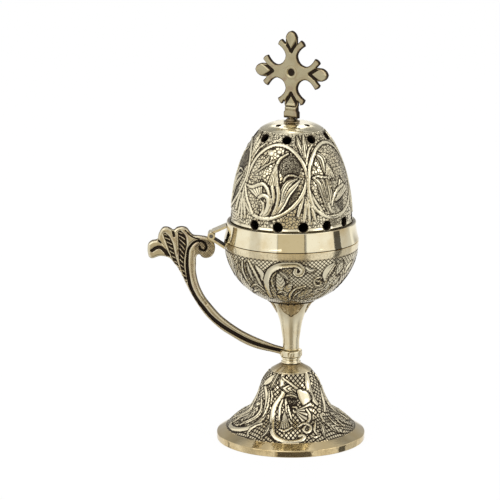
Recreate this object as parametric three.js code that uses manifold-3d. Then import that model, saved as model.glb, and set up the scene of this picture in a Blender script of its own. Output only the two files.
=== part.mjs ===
// Hand censer: a footed, egg-shaped incense burner with a hinged, pierced lid.
// Millimetres, +Z up. Every piece is drawn round the axis of the bowl, and the whole
// is then shifted along X so that its footprint is centred on the origin.
import * as THREE from 'three';
import { mergeVertices } from 'three/addons/utils/BufferGeometryUtils.js';
import Module from 'manifold-3d';

const wasm = await Module();
wasm.setup();

// Clearances
const seat = 0.3;            // between two pieces that rest on or against each other
const pinPlay = 0.08;        // all round the hinge pin
const boltPlay = 0.3;        // all round the tie bolt and the cross's stud

// Foot
const footRadius = 37.5;
const footEdgeHeight = 3.2;       // plain upright edge
const footRimRadius = 32.6;       // inner edge of the plain sloping rim
const footRimHeight = 6.2;
const footShoulderRadius = 10.1;  // where the engraved bell ends and the plain shoulder begins
const footShoulderHeight = 35.8;
const footNeckRadius = 5.3;
const footHeight = 38.7;
const footWall = 2.2;
const footSeatThickness = 4.2;    // metal under the neck, which the washer bears on

// Collar and handle's eye
const collarRadius = 4.95;
const collarHeight = 3.1;
const eyeRadius = 5.6;
const eyeHeight = 3.2;
const eyeBevel = 0.5;

// Stem
const stemRadius = 4.13;
const stemLength = 26.1;
const stemStraight = 4.6;         // parallel length above the eye
const stemFlareRadius = 12.3;

// Bowl, the lower half of the egg
const bowlRadius = 33.7;
const bowlDepth = 32.8;
const bowlWall = 2.2;
const bowlFloor = 2.6;

// Tie bolt, its washers and its nut
const boltRadius = 2.5;
const boltHeadRadius = 4.4;
const boltHeadHeight = 2.2;
const boltSlotWidth = 1;
const boltWasherRadius = 6.4;
const boltWasherHeight = 0.9;
const footWasherRadius = 7.4;
const footWasherHeight = 1.2;
const footWasherRoom = 0.6;       // round the washer, in the foot's hollow
const footNutWidth = 8;           // across flats
const footNutHeight = 3.8;
const boltEnd = 1.4;              // bolt showing below the nut

// Coal cup
const cupWall = 1.1;
const cupRimGap = 7.1;            // between the cup's rim and the bowl's inner wall
const cupBellyHeight = 4.3;       // of the part that bears on the bowl
const cupRimDrop = 1.4;           // below the bowl's rim
const cupLipRadius = 0.8;
const cupFloorRise = 5.2;         // above the bowl's floor

// Lid
const bandHeight = 9.3;
const bandOverhang = 0.1;         // of the band's lower edge beyond the bowl's rim
const bandFlare = 1.5;            // how far the band widens towards its lower edge
const bandWall = 2.6;
const bandSeatHeight = 1.5;       // inner flange that carries the dome
const bandSeatDepth = 2.7;        // of that flange below the band's top
const domeLedge = 2;              // of the band's top edge beyond the dome
const domeRise = 54.5;
const domeWall = 1.8;
const capRadius = 15.4;           // edge of the plain cap
const capRise = 2.7;
const capFlatRadius = 8.4;
const capWall = 2.4;

// Holes in the lid
const lowerHoles = 15;
const lowerHoleRadius = 2.4;
const lowerHoleRise = 2.7;        // centres above the band's top
const lowerHoleTurn = -12.8;      // degrees from the front
const lowerHoleLeftOut = 13;      // the place beside the hinge that is not drilled
const upperHoles = 9;
const upperHoleRadius = 2.15;
const upperHoleMargin = 2.6;      // circle of the upper holes beyond the plain cap
const upperHoleTurn = -7.5;
const capHoles = 4;
const capHoleRadius = 1.2;
const capHoleMargin = 5.7;        // circle of the cap's holes inside the cap's edge
const capHoleTurn = 49;

// Cross
const crossReach = 20.6;          // centre to the tip of an arm
const crossThickness = 2.2;
const crossTurn = -30;            // degrees about the vertical
const crossLift = 25.1;           // centre above the cap
const crossDimpleRadius = 2.2;
const crossDimpleDepth = 0.6;
const neckWidth = 8;
const neckThickness = 3.2;
const neckHeight = 9.7;
const crossCollarRadius = 4.1;
const crossCollarHeight = 1.6;
const crossCollarEdge = 0.3;
const studRadius = 1.5;
const crossWasherRadius = 3.6;
const crossWasherHeight = 0.8;
const crossNutWidth = 5.5;        // across flats
const crossNutHeight = 2.4;
const studEnd = 0.8;              // stud showing below the nut

// Hinge
const hingeReach = 6.3;           // pin's centre outside the bowl's rim
const hingeRise = 2;              // pin's centre above the bowl's rim
const hingeWidth = 8;
const knuckleRadius = 1.9;
const pinRadius = 0.9;
const middleKnuckle = 2.4;        // length of the lid's knuckle
const leafThickness = 1.2;
const leafSpare = 5;              // of a leaf past the wall that it meets, trimmed off again
const lowerLeafSlope = -33;       // degrees
const upperLeafSlope = 24;

// Handle
const voluteRadius = 5.4;
const voluteBevel = 0.8;
const voluteBearing = 62;         // degrees: direction from the volute's centre to the hinge pin
const voluteGap = 0.39;           // between the volute and the knuckle
const handleHalfThickness = 2.5;
const armWidth = 5;
const leafLobeWidth = 7.2;

const rad = THREE.MathUtils.degToRad;

// Radii that follow from the bowl's rim
const bandTopRadius = bowlRadius + bandOverhang - bandFlare;
const domeRadius = bandTopRadius - domeLedge;
const cupRimRadius = bowlRadius - bowlWall - cupRimGap;
const upperHoleCircle = capRadius + upperHoleMargin;
const capHoleCircle = capRadius - capHoleMargin;

// Heights of the stack, from the floor up
const collarBottom = footHeight + seat;
const eyeBottom = collarBottom + collarHeight + seat;
const stemBottom = eyeBottom + eyeHeight + seat;
const stemTop = stemBottom + stemLength;
const bowlBottom = stemTop + seat;
const bowlRim = bowlBottom + bowlDepth * Math.sqrt(1 - (stemFlareRadius / bowlRadius) ** 2);
const bandBottom = bowlRim + seat;
const bandTop = bandBottom + bandHeight;
const capEdge = bandTop + domeRise * Math.sqrt(1 - (capRadius / domeRadius) ** 2);
const capTop = capEdge + capRise;
const capUnderside = capTop - capWall;
const crossCollarBottom = capTop + seat;
const neckBottom = crossCollarBottom + crossCollarHeight + seat;
const crossCentre = capTop + crossLift;
const footWasherBottom = footHeight - footSeatThickness - seat - footWasherHeight;
const footNutBottom = footWasherBottom - seat - footNutHeight;
const boltWasherBottom = bowlBottom + bowlFloor + seat;
const crossWasherBottom = capUnderside - seat - crossWasherHeight;
const crossNutBottom = crossWasherBottom - seat - crossNutHeight;
const pinX = -(bowlRadius + hingeReach);
const pinZ = bowlRim + hingeRise;
const boltBore = boltRadius + boltPlay;
const studBore = studRadius + boltPlay;

// Turns a triangle soup into a solid: vertices merged, collapsed triangles left out, faces outwards.
function toSolid(geometry) {
  const bare = geometry.index ? geometry.toNonIndexed() : geometry.clone();
  for (const name of Object.keys(bare.attributes)) {
    if (name !== 'position') bare.deleteAttribute(name);
  }
  const merged = mergeVertices(bare, 1e-5);
  const p = merged.attributes.position;
  const index = merged.index.array;
  const kept = [];
  let volume = 0;
  const [a, b, c] = [new THREE.Vector3(), new THREE.Vector3(), new THREE.Vector3()];
  for (let i = 0; i < index.length; i += 3) {
    const [i0, i1, i2] = [index[i], index[i + 1], index[i + 2]];
    if (i0 === i1 || i1 === i2 || i2 === i0) continue;
    kept.push(i0, i1, i2);
    a.fromBufferAttribute(p, i0);
    b.fromBufferAttribute(p, i1);
    c.fromBufferAttribute(p, i2);
    volume += a.dot(b.cross(c));
  }
  if (volume < 0) {
    for (let i = 0; i < kept.length; i += 3) [kept[i + 1], kept[i + 2]] = [kept[i + 2], kept[i + 1]];
  }
  return new wasm.Manifold(new wasm.Mesh({
    numProp: 3,
    vertProperties: new Float32Array(p.array),
    triVerts: new Uint32Array(kept),
  }));
}

function toGeometry(solid) {
  const { vertProperties, triVerts } = solid.getMesh();
  const geometry = new THREE.BufferGeometry();
  geometry.setAttribute('position', new THREE.BufferAttribute(new Float32Array(vertProperties), 3));
  geometry.setIndex(new THREE.BufferAttribute(new Uint32Array(triVerts), 1));
  geometry.computeVertexNormals();
  return geometry;
}

// A closed profile of [radius, height] turned about the vertical axis.
function turned(profile, segments = 36) {
  const points = profile.map(([r, z]) => new THREE.Vector2(r, z));
  points.push(points[0].clone());
  return toSolid(new THREE.LatheGeometry(points, segments).rotateX(Math.PI / 2));
}

function ring(inner, outer, bottom, height, segments = 24) {
  const top = bottom + height;
  return turned([[inner, bottom], [outer, bottom], [outer, top], [inner, top]], segments);
}

// An upright cylinder between two heights.
function rod(radius, bottom, top, segments = 20) {
  const geometry = new THREE.CylinderGeometry(radius, radius, top - bottom, segments);
  return toSolid(geometry.rotateX(Math.PI / 2).translate(0, 0, (bottom + top) / 2));
}

// A cylinder along Y, centred at x, z, between two values of y.
function crossRod(radius, x, z, from, to, segments = 20) {
  const geometry = new THREE.CylinderGeometry(radius, radius, to - from, segments);
  return toSolid(geometry.translate(x, (from + to) / 2, 0).translate(0, 0, z));
}

function hexNut(width, bore, bottom, height) {
  const body = rod(width / Math.sqrt(3), bottom, bottom + height, 6);
  return body.subtract(rod(bore, bottom - 1, bottom + height + 1));
}

// An outline in the XZ plane, carried through `depth` along Y and centred on it.
function slab(shape, depth, bevel = 0) {
  const geometry = new THREE.ExtrudeGeometry(shape, {
    depth: depth - 2 * bevel,
    bevelEnabled: bevel > 0,
    bevelThickness: bevel,
    bevelSize: bevel,
    bevelOffset: -bevel,
    bevelSegments: 1,
    curveSegments: 4,
  });
  return toSolid(geometry.translate(0, 0, bevel - depth / 2).rotateX(Math.PI / 2));
}

// Points of a quarter of an ellipse, from one radius to another, above (+1) or below (-1) its centre.
function ellipsePoints(radius, rise, centre, fromRadius, toRadius, side, count) {
  const from = Math.acos(Math.min(1, fromRadius / radius));
  const to = Math.acos(Math.min(1, toRadius / radius));
  return Array.from({ length: count + 1 }, (_, i) => {
    const angle = from + ((to - from) * i) / count;
    return [radius * Math.cos(angle), centre + side * rise * Math.sin(angle)];
  });
}

// Moves an open profile sideways by `distance`, to the left of its direction of travel.
function shifted(profile, distance) {
  return profile.map((point, i) => {
    const before = profile[Math.max(0, i - 1)];
    const after = profile[Math.min(profile.length - 1, i + 1)];
    const [dr, dz] = [after[0] - before[0], after[1] - before[1]];
    const length = Math.hypot(dr, dz);
    return [point[0] - (distance * dz) / length, point[1] + (distance * dr) / length];
  });
}

// The bell between the rim and the shoulder: an ogee through points given as shares of its spread and rise.
function bellProfile(steps = 9) {
  const shares = [[1, 0], [0.745, 0.17], [0.487, 0.3], [0.307, 0.534], [0.182, 0.804], [0, 1]];
  const spread = footRimRadius - footShoulderRadius;
  const rise = footShoulderHeight - footRimHeight;
  const curve = new THREE.SplineCurve(shares.map(([r, z]) => new THREE.Vector2(
    footShoulderRadius + spread * r, footRimHeight + rise * z)));
  return curve.getPoints(steps).map((p) => [p.x, p.y]);
}

function footSolid() {
  const bell = bellProfile();
  const outside = [[footRadius, footEdgeHeight], ...bell, [footNeckRadius, footHeight]];
  const underside = footHeight - footSeatThickness;
  const room = footWasherRadius + footWasherRoom;
  const inside = shifted(outside, footWall).filter(([r, z]) => z < underside && z > 0 && r > room);
  const lip = footRadius - footWall;
  return turned([
    [lip, 0], [footRadius, 0], ...outside, [boltBore, footHeight], [boltBore, underside],
    [room, underside],
    ...inside.reverse(), [lip, 1],
  ]);
}

function stemSolid() {
  const shares = [[0.06, 0.17], [0.183, 0.46], [0.395, 0.694], [0.756, 0.925], [1, 1]];
  const flareBottom = stemBottom + stemStraight;
  const curve = new THREE.SplineCurve([[0, 0], ...shares].map(([r, z]) => new THREE.Vector2(
    stemRadius + (stemFlareRadius - stemRadius) * r, flareBottom + (stemTop - flareBottom) * z)));
  const flare = curve.getPoints(9).map((p) => [p.x, p.y]);
  return turned([[boltBore, stemBottom], [stemRadius, stemBottom], ...flare, [boltBore, stemTop]], 28);
}

// Inner wall of the bowl, an ellipse about the same centre as the outside.
function bowlInnerRadius(z) {
  const depth = bowlDepth - bowlWall;
  return (bowlRadius - bowlWall) * Math.sqrt(1 - ((bowlRim - z) / depth) ** 2);
}

function bowlSolid() {
  const floor = bowlBottom + bowlFloor;
  const outside = ellipsePoints(bowlRadius, bowlDepth, bowlRim, stemFlareRadius, bowlRadius, -1, 8);
  const innerRadius = bowlRadius - bowlWall;
  const inside = ellipsePoints(
    innerRadius, bowlDepth - bowlWall, bowlRim, innerRadius, bowlInnerRadius(floor), -1, 6);
  return turned([[boltBore, bowlBottom], ...outside, ...inside, [boltBore, floor]]);
}

// The cup's belly follows the bowl's inner wall, which carries it; above that it stands free.
function coalCupSolid() {
  const floor = bowlBottom + bowlFloor + cupFloorRise;
  const rim = bowlRim - cupRimDrop;
  const belly = [0, 0.5, 1].map((share) => {
    const z = floor + share * cupBellyHeight;
    return [bowlInnerRadius(z) - seat, z];
  });
  const outside = [...belly, [cupRimRadius, rim - 4 * cupLipRadius]];
  const inside = shifted(outside, cupWall).slice(1).reverse();
  const innerFloor = floor + cupWall;
  return turned([
    [0, floor], ...outside,
    [cupRimRadius, rim - 2 * cupLipRadius], [cupRimRadius + 0.6 * cupLipRadius, rim - cupLipRadius],
    [cupRimRadius, rim], [cupRimRadius - cupWall, rim],
    ...inside, [belly[0][0] - cupWall, innerFloor], [0, innerFloor],
  ]);
}

function bandRadius(z) {
  return bandTopRadius + bandFlare * ((bandTop - z) / bandHeight) ** 2;
}

function bandOutside(offset = 0) {
  return [0, 0.2, 0.4, 0.65, 0.93].map((share) => {
    const z = bandBottom + share * bandHeight;
    return [bandRadius(z) + offset, z];
  });
}

function bandSolid() {
  const rebate = domeRadius + seat;
  const seatTop = bandTop - bandSeatDepth;
  const seatInner = domeRadius - domeWall + 0.4;
  const innerWall = bandRadius(bandBottom) - bandWall;
  return turned([
    ...bandOutside(), [bandTopRadius - 0.5, bandTop], [rebate, bandTop], [rebate, seatTop],
    [seatInner, seatTop], [seatInner, seatTop - bandSeatHeight],
    [innerWall, seatTop - 2 * bandSeatHeight], [innerWall, bandBottom],
  ]);
}

function around(count, turn, callback) {
  return Array.from({ length: count }, (_, i) => callback(rad(turn - 90 + (360 * i) / count), i));
}

// A drill standing at `angle` round the axis, on the circle `radius`, tilted up by `tilt`.
function drill(size, angle, radius, height, tilt, length) {
  const geometry = new THREE.CylinderGeometry(size, size, length, 10);
  geometry.rotateZ(Math.PI / 2 + tilt).translate(radius, height, 0).rotateX(Math.PI / 2);
  return toSolid(geometry.rotateZ(angle));
}

function domeSolid() {
  const bottom = bandTop - bandSeatDepth + seat;
  const outside = ellipsePoints(domeRadius, domeRise, bandTop, domeRadius, capRadius, 1, 8);
  const cap = new THREE.QuadraticBezierCurve(
    new THREE.Vector2(capRadius, capEdge),
    new THREE.Vector2((capRadius + capFlatRadius) / 2, capEdge + 0.83 * capRise),
    new THREE.Vector2(capFlatRadius, capTop)).getPoints(3).slice(1).map((p) => [p.x, p.y]);
  const innerRadius = domeRadius - domeWall;
  const innerRise = domeRise - domeWall;
  const innerTop = innerRadius * Math.sqrt(1 - ((capUnderside - bandTop) / innerRise) ** 2);
  const inside = ellipsePoints(innerRadius, innerRise, bandTop, innerTop, innerRadius, 1, 5);
  let dome = turned([
    [innerRadius, bottom], [domeRadius, bottom], ...outside, ...cap,
    [studBore, capTop], [studBore, capUnderside], ...inside,
  ]);
  const drills = around(lowerHoles, lowerHoleTurn, (angle, i) => (i === lowerHoleLeftOut ? null
    : drill(lowerHoleRadius, angle, domeRadius, bandTop + lowerHoleRise, 0, 6 * domeWall)));
  const rise = domeRise * Math.sqrt(1 - (upperHoleCircle / domeRadius) ** 2);
  const tilt = Math.atan2(rise / domeRise ** 2, upperHoleCircle / domeRadius ** 2);
  drills.push(...around(upperHoles, upperHoleTurn, (angle) => (
    drill(upperHoleRadius, angle, upperHoleCircle, bandTop + rise, tilt, 5 * domeWall))));
  drills.push(...around(capHoles, capHoleTurn, (angle) => (
    drill(capHoleRadius, angle, capHoleCircle, capUnderside, Math.PI / 2, 5 * capWall))));
  for (const cutter of drills) {
    if (cutter) dome = dome.subtract(cutter);
  }
  return dome;
}

// Outline of the cross about its centre, in shares of its reach: across an arm, then along it.
// Every arm has two diverging prongs; three arms carry a pointed bud between them, and the
// fourth runs down into the neck.
function crossShape() {
  const shape = new THREE.Shape();
  const waist = [0.146, 0.388];
  const waistBend = [0.155, 0.534];
  const prongSide = [0.369, 0.66];
  const prongTip = [0.252, 0.772];
  const notch = [0.155, 0.67];
  const budSide = [0.16, 0.835];
  const budBend = [0.117, 0.985];
  const armBend = [0.175, 0.175];
  const neckHalf = neckWidth / 2 / crossReach;
  const neckBase = (crossCentre - neckBottom) / crossReach;
  const neckRoot = 0.689;
  for (let arm = 0; arm < 4; arm += 1) {
    const place = ([across, along], side) => {
      const turn = -arm * Math.PI / 2;
      const at = new THREE.Vector2(side * across, along).rotateAround(new THREE.Vector2(), turn);
      return at.multiplyScalar(crossReach).toArray();
    };
    const to = (point, side) => shape.lineTo(...place(point, side));
    const bend = (by, point, side) => shape.quadraticCurveTo(...place(by, side), ...place(point, side));
    if (arm === 0) shape.moveTo(...place(waist, -1));
    bend(waistBend, prongSide, -1);
    to(prongTip, -1);
    if (arm === 2) {
      to([neckHalf, neckRoot], -1);
      to([neckHalf, neckBase], -1);
      to([neckHalf, neckBase], 1);
      to([neckHalf, neckRoot], 1);
    } else {
      to(notch, -1);
      to(budSide, -1);
      bend(budBend, [0, 1], -1);
      bend(budBend, budSide, 1);
      to(notch, 1);
    }
    to(prongTip, 1);
    to(prongSide, 1);
    bend(waistBend, waist, 1);
    bend(armBend, [waist[1], waist[0]], 1);
  }
  return shape;
}

function crossSolid() {
  let cross = slab(crossShape(), crossThickness, 0.35);
  const half = neckWidth / 2;
  const block = new THREE.Shape([[-half, 0], [half, 0], [half, neckHeight], [-half, neckHeight]]
    .map(([x, z]) => new THREE.Vector2(x, z + neckBottom - crossCentre)));
  cross = cross.add(slab(block, neckThickness, 0.3));
  const face = crossThickness / 2;
  const dimple = crossRod(crossDimpleRadius, 0, 0, face - crossDimpleDepth, face + 1);
  cross = cross.subtract(dimple).subtract(dimple.rotate([0, 0, 180]));
  cross = cross.rotate([0, 0, crossTurn]).translate([0, 0, crossCentre]);
  return cross.add(rod(studRadius, crossNutBottom - studEnd, neckBottom + 1));
}

function crossCollarSolid() {
  const top = crossCollarBottom + crossCollarHeight;
  const waist = 0.62 * crossCollarRadius;
  return turned([
    [studBore, crossCollarBottom], [crossCollarRadius, crossCollarBottom],
    [crossCollarRadius, crossCollarBottom + crossCollarEdge], [waist, top], [studBore, top],
  ], 24);
}

// Wall that a hinge leaf is brazed to, grown by the seat, as a cutter for the leaf's end.
function bandCutter() {
  return turned([[0, bandBottom - 1], [bandRadius(bandBottom) + seat, bandBottom - 1],
    ...bandOutside(seat), [bandTopRadius + seat, bandTop + 1], [0, bandTop + 1]]);
}

function bowlCutter() {
  const radius = bowlRadius + seat;
  const outside = ellipsePoints(radius, bowlDepth + seat, bowlRim, stemFlareRadius, radius, -1, 12);
  return turned([[0, outside[0][1]], ...outside, [radius, bandBottom + 1], [0, bandBottom + 1]]);
}

function leafPlate(slope, side) {
  const [c, s] = [Math.cos(rad(slope)), Math.sin(rad(slope))];
  const at = (along, across) => new THREE.Vector2(
    pinX + along * c - across * s, pinZ + along * s + across * c);
  const [near, far] = [0, hingeReach + leafSpare];
  const [outer, inner] = [side * knuckleRadius, side * (knuckleRadius - leafThickness)];
  return new THREE.Shape([at(near, inner), at(far, inner), at(far, outer), at(near, outer)]);
}

const lidKnuckleRoom = middleKnuckle / 2 + seat;
const knuckleRoom = knuckleRadius + seat;

function lowerLeafSolid() {
  const half = hingeWidth / 2;
  const bore = crossRod(pinRadius + pinPlay, pinX, pinZ, -half - 1, half + 1);
  let leaf = slab(leafPlate(lowerLeafSlope, -1), hingeWidth);
  leaf = leaf.add(crossRod(knuckleRadius, pinX, pinZ, -half, half));
  leaf = leaf.subtract(crossRod(knuckleRoom, pinX, pinZ, -lidKnuckleRoom, lidKnuckleRoom));
  return leaf.subtract(bore).subtract(bowlCutter());
}

function upperLeafSolid() {
  const half = hingeWidth / 2;
  let leaf = slab(leafPlate(upperLeafSlope, 1), hingeWidth);
  leaf = leaf.subtract(crossRod(knuckleRoom, pinX, pinZ, middleKnuckle / 2, half + 1));
  leaf = leaf.subtract(crossRod(knuckleRoom, pinX, pinZ, -half - 1, -middleKnuckle / 2));
  leaf = leaf.add(crossRod(knuckleRadius, pinX, pinZ, -middleKnuckle / 2, middleKnuckle / 2));
  leaf = leaf.subtract(crossRod(pinRadius + pinPlay, pinX, pinZ, -half - 1, half + 1));
  return leaf.subtract(bandCutter());
}

// The handle lies in the XZ plane between the eye's middle and the volute's centre, and its
// curves are given as shares of that span.
const eyeMiddle = eyeBottom + eyeHeight / 2;
const voluteToPin = voluteRadius + voluteGap + knuckleRadius;
const volute = new THREE.Vector2(
  pinX - voluteToPin * Math.cos(rad(voluteBearing)),
  pinZ - voluteToPin * Math.sin(rad(voluteBearing)));

function inHandle([x, z]) {
  return new THREE.Vector2(volute.x * x, eyeMiddle + (volute.y - eyeMiddle) * z);
}

// Carries a grooved section along a plane curve. `halfWidth` and `halfThickness` are functions of
// the share of the length; `groove` is the depth of the channel along both faces.
function blade(curve, steps, halfWidth, halfThickness, groove) {
  const flank = [[1, 0], [0.8, 0.82], [0.42, 1]];
  const section = [...flank, [0, 1 - groove], ...flank.toReversed().map(([n, y]) => [-n, y])];
  const loop = [...section, ...section.slice(1, -1).reverse().map(([n, y]) => [n, -y])];
  const rings = Array.from({ length: steps + 1 }, (_, i) => {
    const t = i / steps;
    const centre = curve.getPointAt(t);
    const tangent = curve.getTangentAt(t);
    return loop.map(([n, y]) => [
      centre.x + tangent.y * n * halfWidth(t), y * halfThickness(t),
      centre.y - tangent.x * n * halfWidth(t)]);
  });
  const positions = [];
  const middle = (points) => [0, 1, 2].map((k) => (
    points.reduce((sum, p) => sum + p[k], 0) / points.length));
  rings.slice(1).forEach((next, i) => {
    const ringHere = rings[i];
    loop.forEach((_, j) => {
      const k = (j + 1) % loop.length;
      positions.push(...ringHere[j], ...next[j], ...next[k], ...ringHere[j], ...next[k], ...ringHere[k]);
    });
  });
  const last = rings[steps];
  const [startMiddle, endMiddle] = [middle(rings[0]), middle(last)];
  loop.forEach((_, j) => {
    const k = (j + 1) % loop.length;
    positions.push(...rings[0][k], ...startMiddle, ...rings[0][j]);
    positions.push(...last[j], ...endMiddle, ...last[k]);
  });
  const geometry = new THREE.BufferGeometry();
  geometry.setAttribute('position', new THREE.Float32BufferAttribute(positions, 3));
  return toSolid(geometry);
}

const tipFade = (t, from = 0.8) => Math.sqrt(1 - 0.96 * Math.max(0, (t - from) / (1 - from)) ** 2);

function armBlade() {
  const shares = [[0.05, 0.01], [0.631, 0.127], [0.961, 0.277], [1.181, 0.768]];
  const curve = new THREE.CubicBezierCurve(...shares.map(inHandle));
  const half = (t) => (armWidth / 2) * Math.min(1, 0.72 + 1.2 * t);
  return blade(curve, 14, half, (t) => handleHalfThickness * (0.62 + 0.3 * t), 0.4);
}

function lobeBlade(shares) {
  const curve = new THREE.SplineCurve(shares.map(inHandle));
  const half = (t) => (leafLobeWidth / 2) * (0.4 + 0.6 * Math.min(1, t / 0.8)) * tipFade(t);
  return blade(curve, 7, half, (t) => handleHalfThickness * (0.85 + 0.15 * t) * tipFade(t, 0.7), 0.35);
}

// The ridge that winds over the volute and in towards its middle.
class VoluteCurve extends THREE.Curve {
  getPoint(t, target = new THREE.Vector2()) {
    const angle = rad(205 - 455 * t);
    const radius = voluteRadius * (0.2 + 0.78 * (1 - t) ** 0.8);
    return target.set(volute.x + radius * Math.cos(angle), volute.y + radius * Math.sin(angle));
  }
}

function voluteSolid() {
  const width = 0.2 * voluteRadius;
  const ridge = blade(new VoluteCurve(), 16, (t) => width * (1 - 0.35 * t),
    () => 1.15 * handleHalfThickness, 0);
  const rise = 0.9 * handleHalfThickness;
  const inner = voluteRadius - voluteBevel;
  const disc = turned([[0, -rise], [inner, -rise], [voluteRadius, voluteBevel - rise],
    [voluteRadius, rise - voluteBevel], [inner, rise], [0, rise]], 24)
    .rotate([90, 0, 0]).translate([volute.x, 0, volute.y]);
  const shares = [[1.09, 0.63], [1.135, 0.8], [1.12, 0.93], [1.085, 1.03]];
  const strand = blade(new THREE.SplineCurve(shares.map(inHandle)), 5,
    () => 0.3 * voluteRadius, () => handleHalfThickness, 0.2);
  return disc.add(ridge).add(strand);
}

function handleSolid() {
  const lobes = [
    [[1.16, 0.66], [1.267, 0.816], [1.393, 0.95], [1.53, 1.01], [1.625, 0.985]],
    [[1.15, 0.66], [1.233, 0.844], [1.313, 0.986], [1.4, 1.105], [1.452, 1.19]],
    [[1.14, 0.68], [1.198, 0.874], [1.233, 1.015], [1.255, 1.12], [1.26, 1.2]],
  ];
  const eyeTop = eyeBottom + eyeHeight;
  const eye = turned([
    [boltBore, eyeBottom], [eyeRadius - eyeBevel, eyeBottom], [eyeRadius, eyeBottom + eyeBevel],
    [eyeRadius, eyeTop - eyeBevel], [eyeRadius - eyeBevel, eyeTop], [boltBore, eyeTop]], 24);
  let handle = armBlade().add(voluteSolid());
  for (const shares of lobes) handle = handle.add(lobeBlade(shares));
  return handle.subtract(rod(stemRadius + seat, eyeBottom - 5, eyeTop + 5)).add(eye);
}

function tieBoltSolid() {
  const headBottom = boltWasherBottom + boltWasherHeight + seat;
  const headTop = headBottom + boltHeadHeight;
  const head = turned([[0, headBottom], [boltHeadRadius, headBottom],
    [boltHeadRadius, headBottom + 0.6 * boltHeadHeight], [0.7 * boltHeadRadius, headTop], [0, headTop]], 24);
  const slot = new THREE.BoxGeometry(3 * boltHeadRadius, boltSlotWidth, boltHeadHeight);
  const slotCut = toSolid(slot.translate(0, 0, headTop));
  return head.add(rod(boltRadius, footNutBottom - boltEnd, headBottom + 0.5)).subtract(slotCut);
}

const brass = { color: 0xc9b37e, metalness: 1, roughness: 0.22 };
const engravedBrass = { color: 0xa8956a, metalness: 1, roughness: 0.38 };
const steel = { color: 0x8b8984, metalness: 1, roughness: 0.4 };
const sootySteel = { color: 0x4c4844, metalness: 0.9, roughness: 0.6 };

const pieces = [
  ['foot', footSolid(), engravedBrass],
  ['foot_collar', ring(boltBore, collarRadius, collarBottom, collarHeight), brass],
  ['handle', handleSolid(), engravedBrass],
  ['stem', stemSolid(), brass],
  ['bowl', bowlSolid(), engravedBrass],
  ['tie_bolt', tieBoltSolid(), steel],
  ['bolt_washer', ring(boltBore, boltWasherRadius, boltWasherBottom, boltWasherHeight), steel],
  ['foot_washer', ring(boltBore, footWasherRadius, footWasherBottom, footWasherHeight), steel],
  ['foot_nut', hexNut(footNutWidth, boltBore, footNutBottom, footNutHeight), steel],
  ['coal_cup', coalCupSolid(), sootySteel],
  ['hinge_lower_leaf', lowerLeafSolid(), brass],
  ['hinge_pin', crossRod(pinRadius, pinX, pinZ, -hingeWidth / 2, hingeWidth / 2), brass],
  ['hinge_upper_leaf', upperLeafSolid(), brass],
  ['lid_band', bandSolid(), brass],
  ['lid_dome', domeSolid(), engravedBrass],
  ['lid_cross', crossSolid(), engravedBrass],
  ['cross_collar', crossCollarSolid(), brass],
  ['cross_washer', ring(studBore, crossWasherRadius, crossWasherBottom, crossWasherHeight), steel],
  ['cross_nut', hexNut(crossNutWidth, studBore, crossNutBottom, crossNutHeight), steel],
];

const group = new THREE.Group();
for (const [name, solid, finish] of pieces) {
  const mesh = new THREE.Mesh(toGeometry(solid), new THREE.MeshStandardMaterial(finish));
  mesh.name = name;
  group.add(mesh);
}

// The bowl's axis lies off the middle of the footprint, because the handle stands out to one side.
const extent = new THREE.Box3().setFromObject(group);
group.position.x = -(extent.min.x + extent.max.x) / 2;

export default group;
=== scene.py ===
# %% [markdown]
# # A footed hand censer in engraved brass
# The real thing is turned and cast brass: a domed foot, a stem, an egg-shaped bowl with a hinged
# and pierced lid, a cross on top and an S-shaped handle. This lesson dresses the measured frame of
# the part. It starts by loading that frame.

# %% Load the frame
from math import atan2, cos, pi, radians, sin, sqrt, tau

import bpy
import numpy as np
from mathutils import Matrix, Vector
from mathutils.geometry import delaunay_2d_cdt


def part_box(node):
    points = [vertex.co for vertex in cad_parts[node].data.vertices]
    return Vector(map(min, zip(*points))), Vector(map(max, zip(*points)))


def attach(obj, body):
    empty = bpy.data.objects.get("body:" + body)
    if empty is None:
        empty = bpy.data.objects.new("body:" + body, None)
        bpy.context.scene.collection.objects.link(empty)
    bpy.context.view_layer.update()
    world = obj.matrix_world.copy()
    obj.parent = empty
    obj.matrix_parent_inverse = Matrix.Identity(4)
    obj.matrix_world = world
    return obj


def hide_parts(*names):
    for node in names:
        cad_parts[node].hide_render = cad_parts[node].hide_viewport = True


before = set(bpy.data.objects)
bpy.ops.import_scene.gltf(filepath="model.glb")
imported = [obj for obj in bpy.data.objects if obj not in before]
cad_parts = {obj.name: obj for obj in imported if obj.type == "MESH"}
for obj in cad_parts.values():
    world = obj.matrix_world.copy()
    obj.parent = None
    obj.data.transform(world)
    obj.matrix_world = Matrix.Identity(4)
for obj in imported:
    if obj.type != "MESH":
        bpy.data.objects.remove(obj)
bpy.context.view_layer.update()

MM = 0.001
bowl_low, bowl_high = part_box("bowl")
AXIS_X = (bowl_low.x + bowl_high.x) / 2 / MM
print("nodes:", len(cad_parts), " bowl's axis at x =", round(AXIS_X, 3), "mm")

# %% [markdown]
# ## The camera
# A long lens from well back gives the flat look of a catalogue picture. It stands in front of the
# bowl's axis, looks down by 13 degrees, and is aimed a little beside the axis, because the handle
# makes the object wider on its left. Aiming the camera leaves its shift at zero.

# %% Camera
CAMERA_PLACE = (AXIS_X * MM, -1.4, 0.42)
AIMED_AT = Vector((-0.0039, 0, 0.097))
LENS_MM, SENSOR_MM, FAR_END = 206.6, 36, 20

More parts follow.
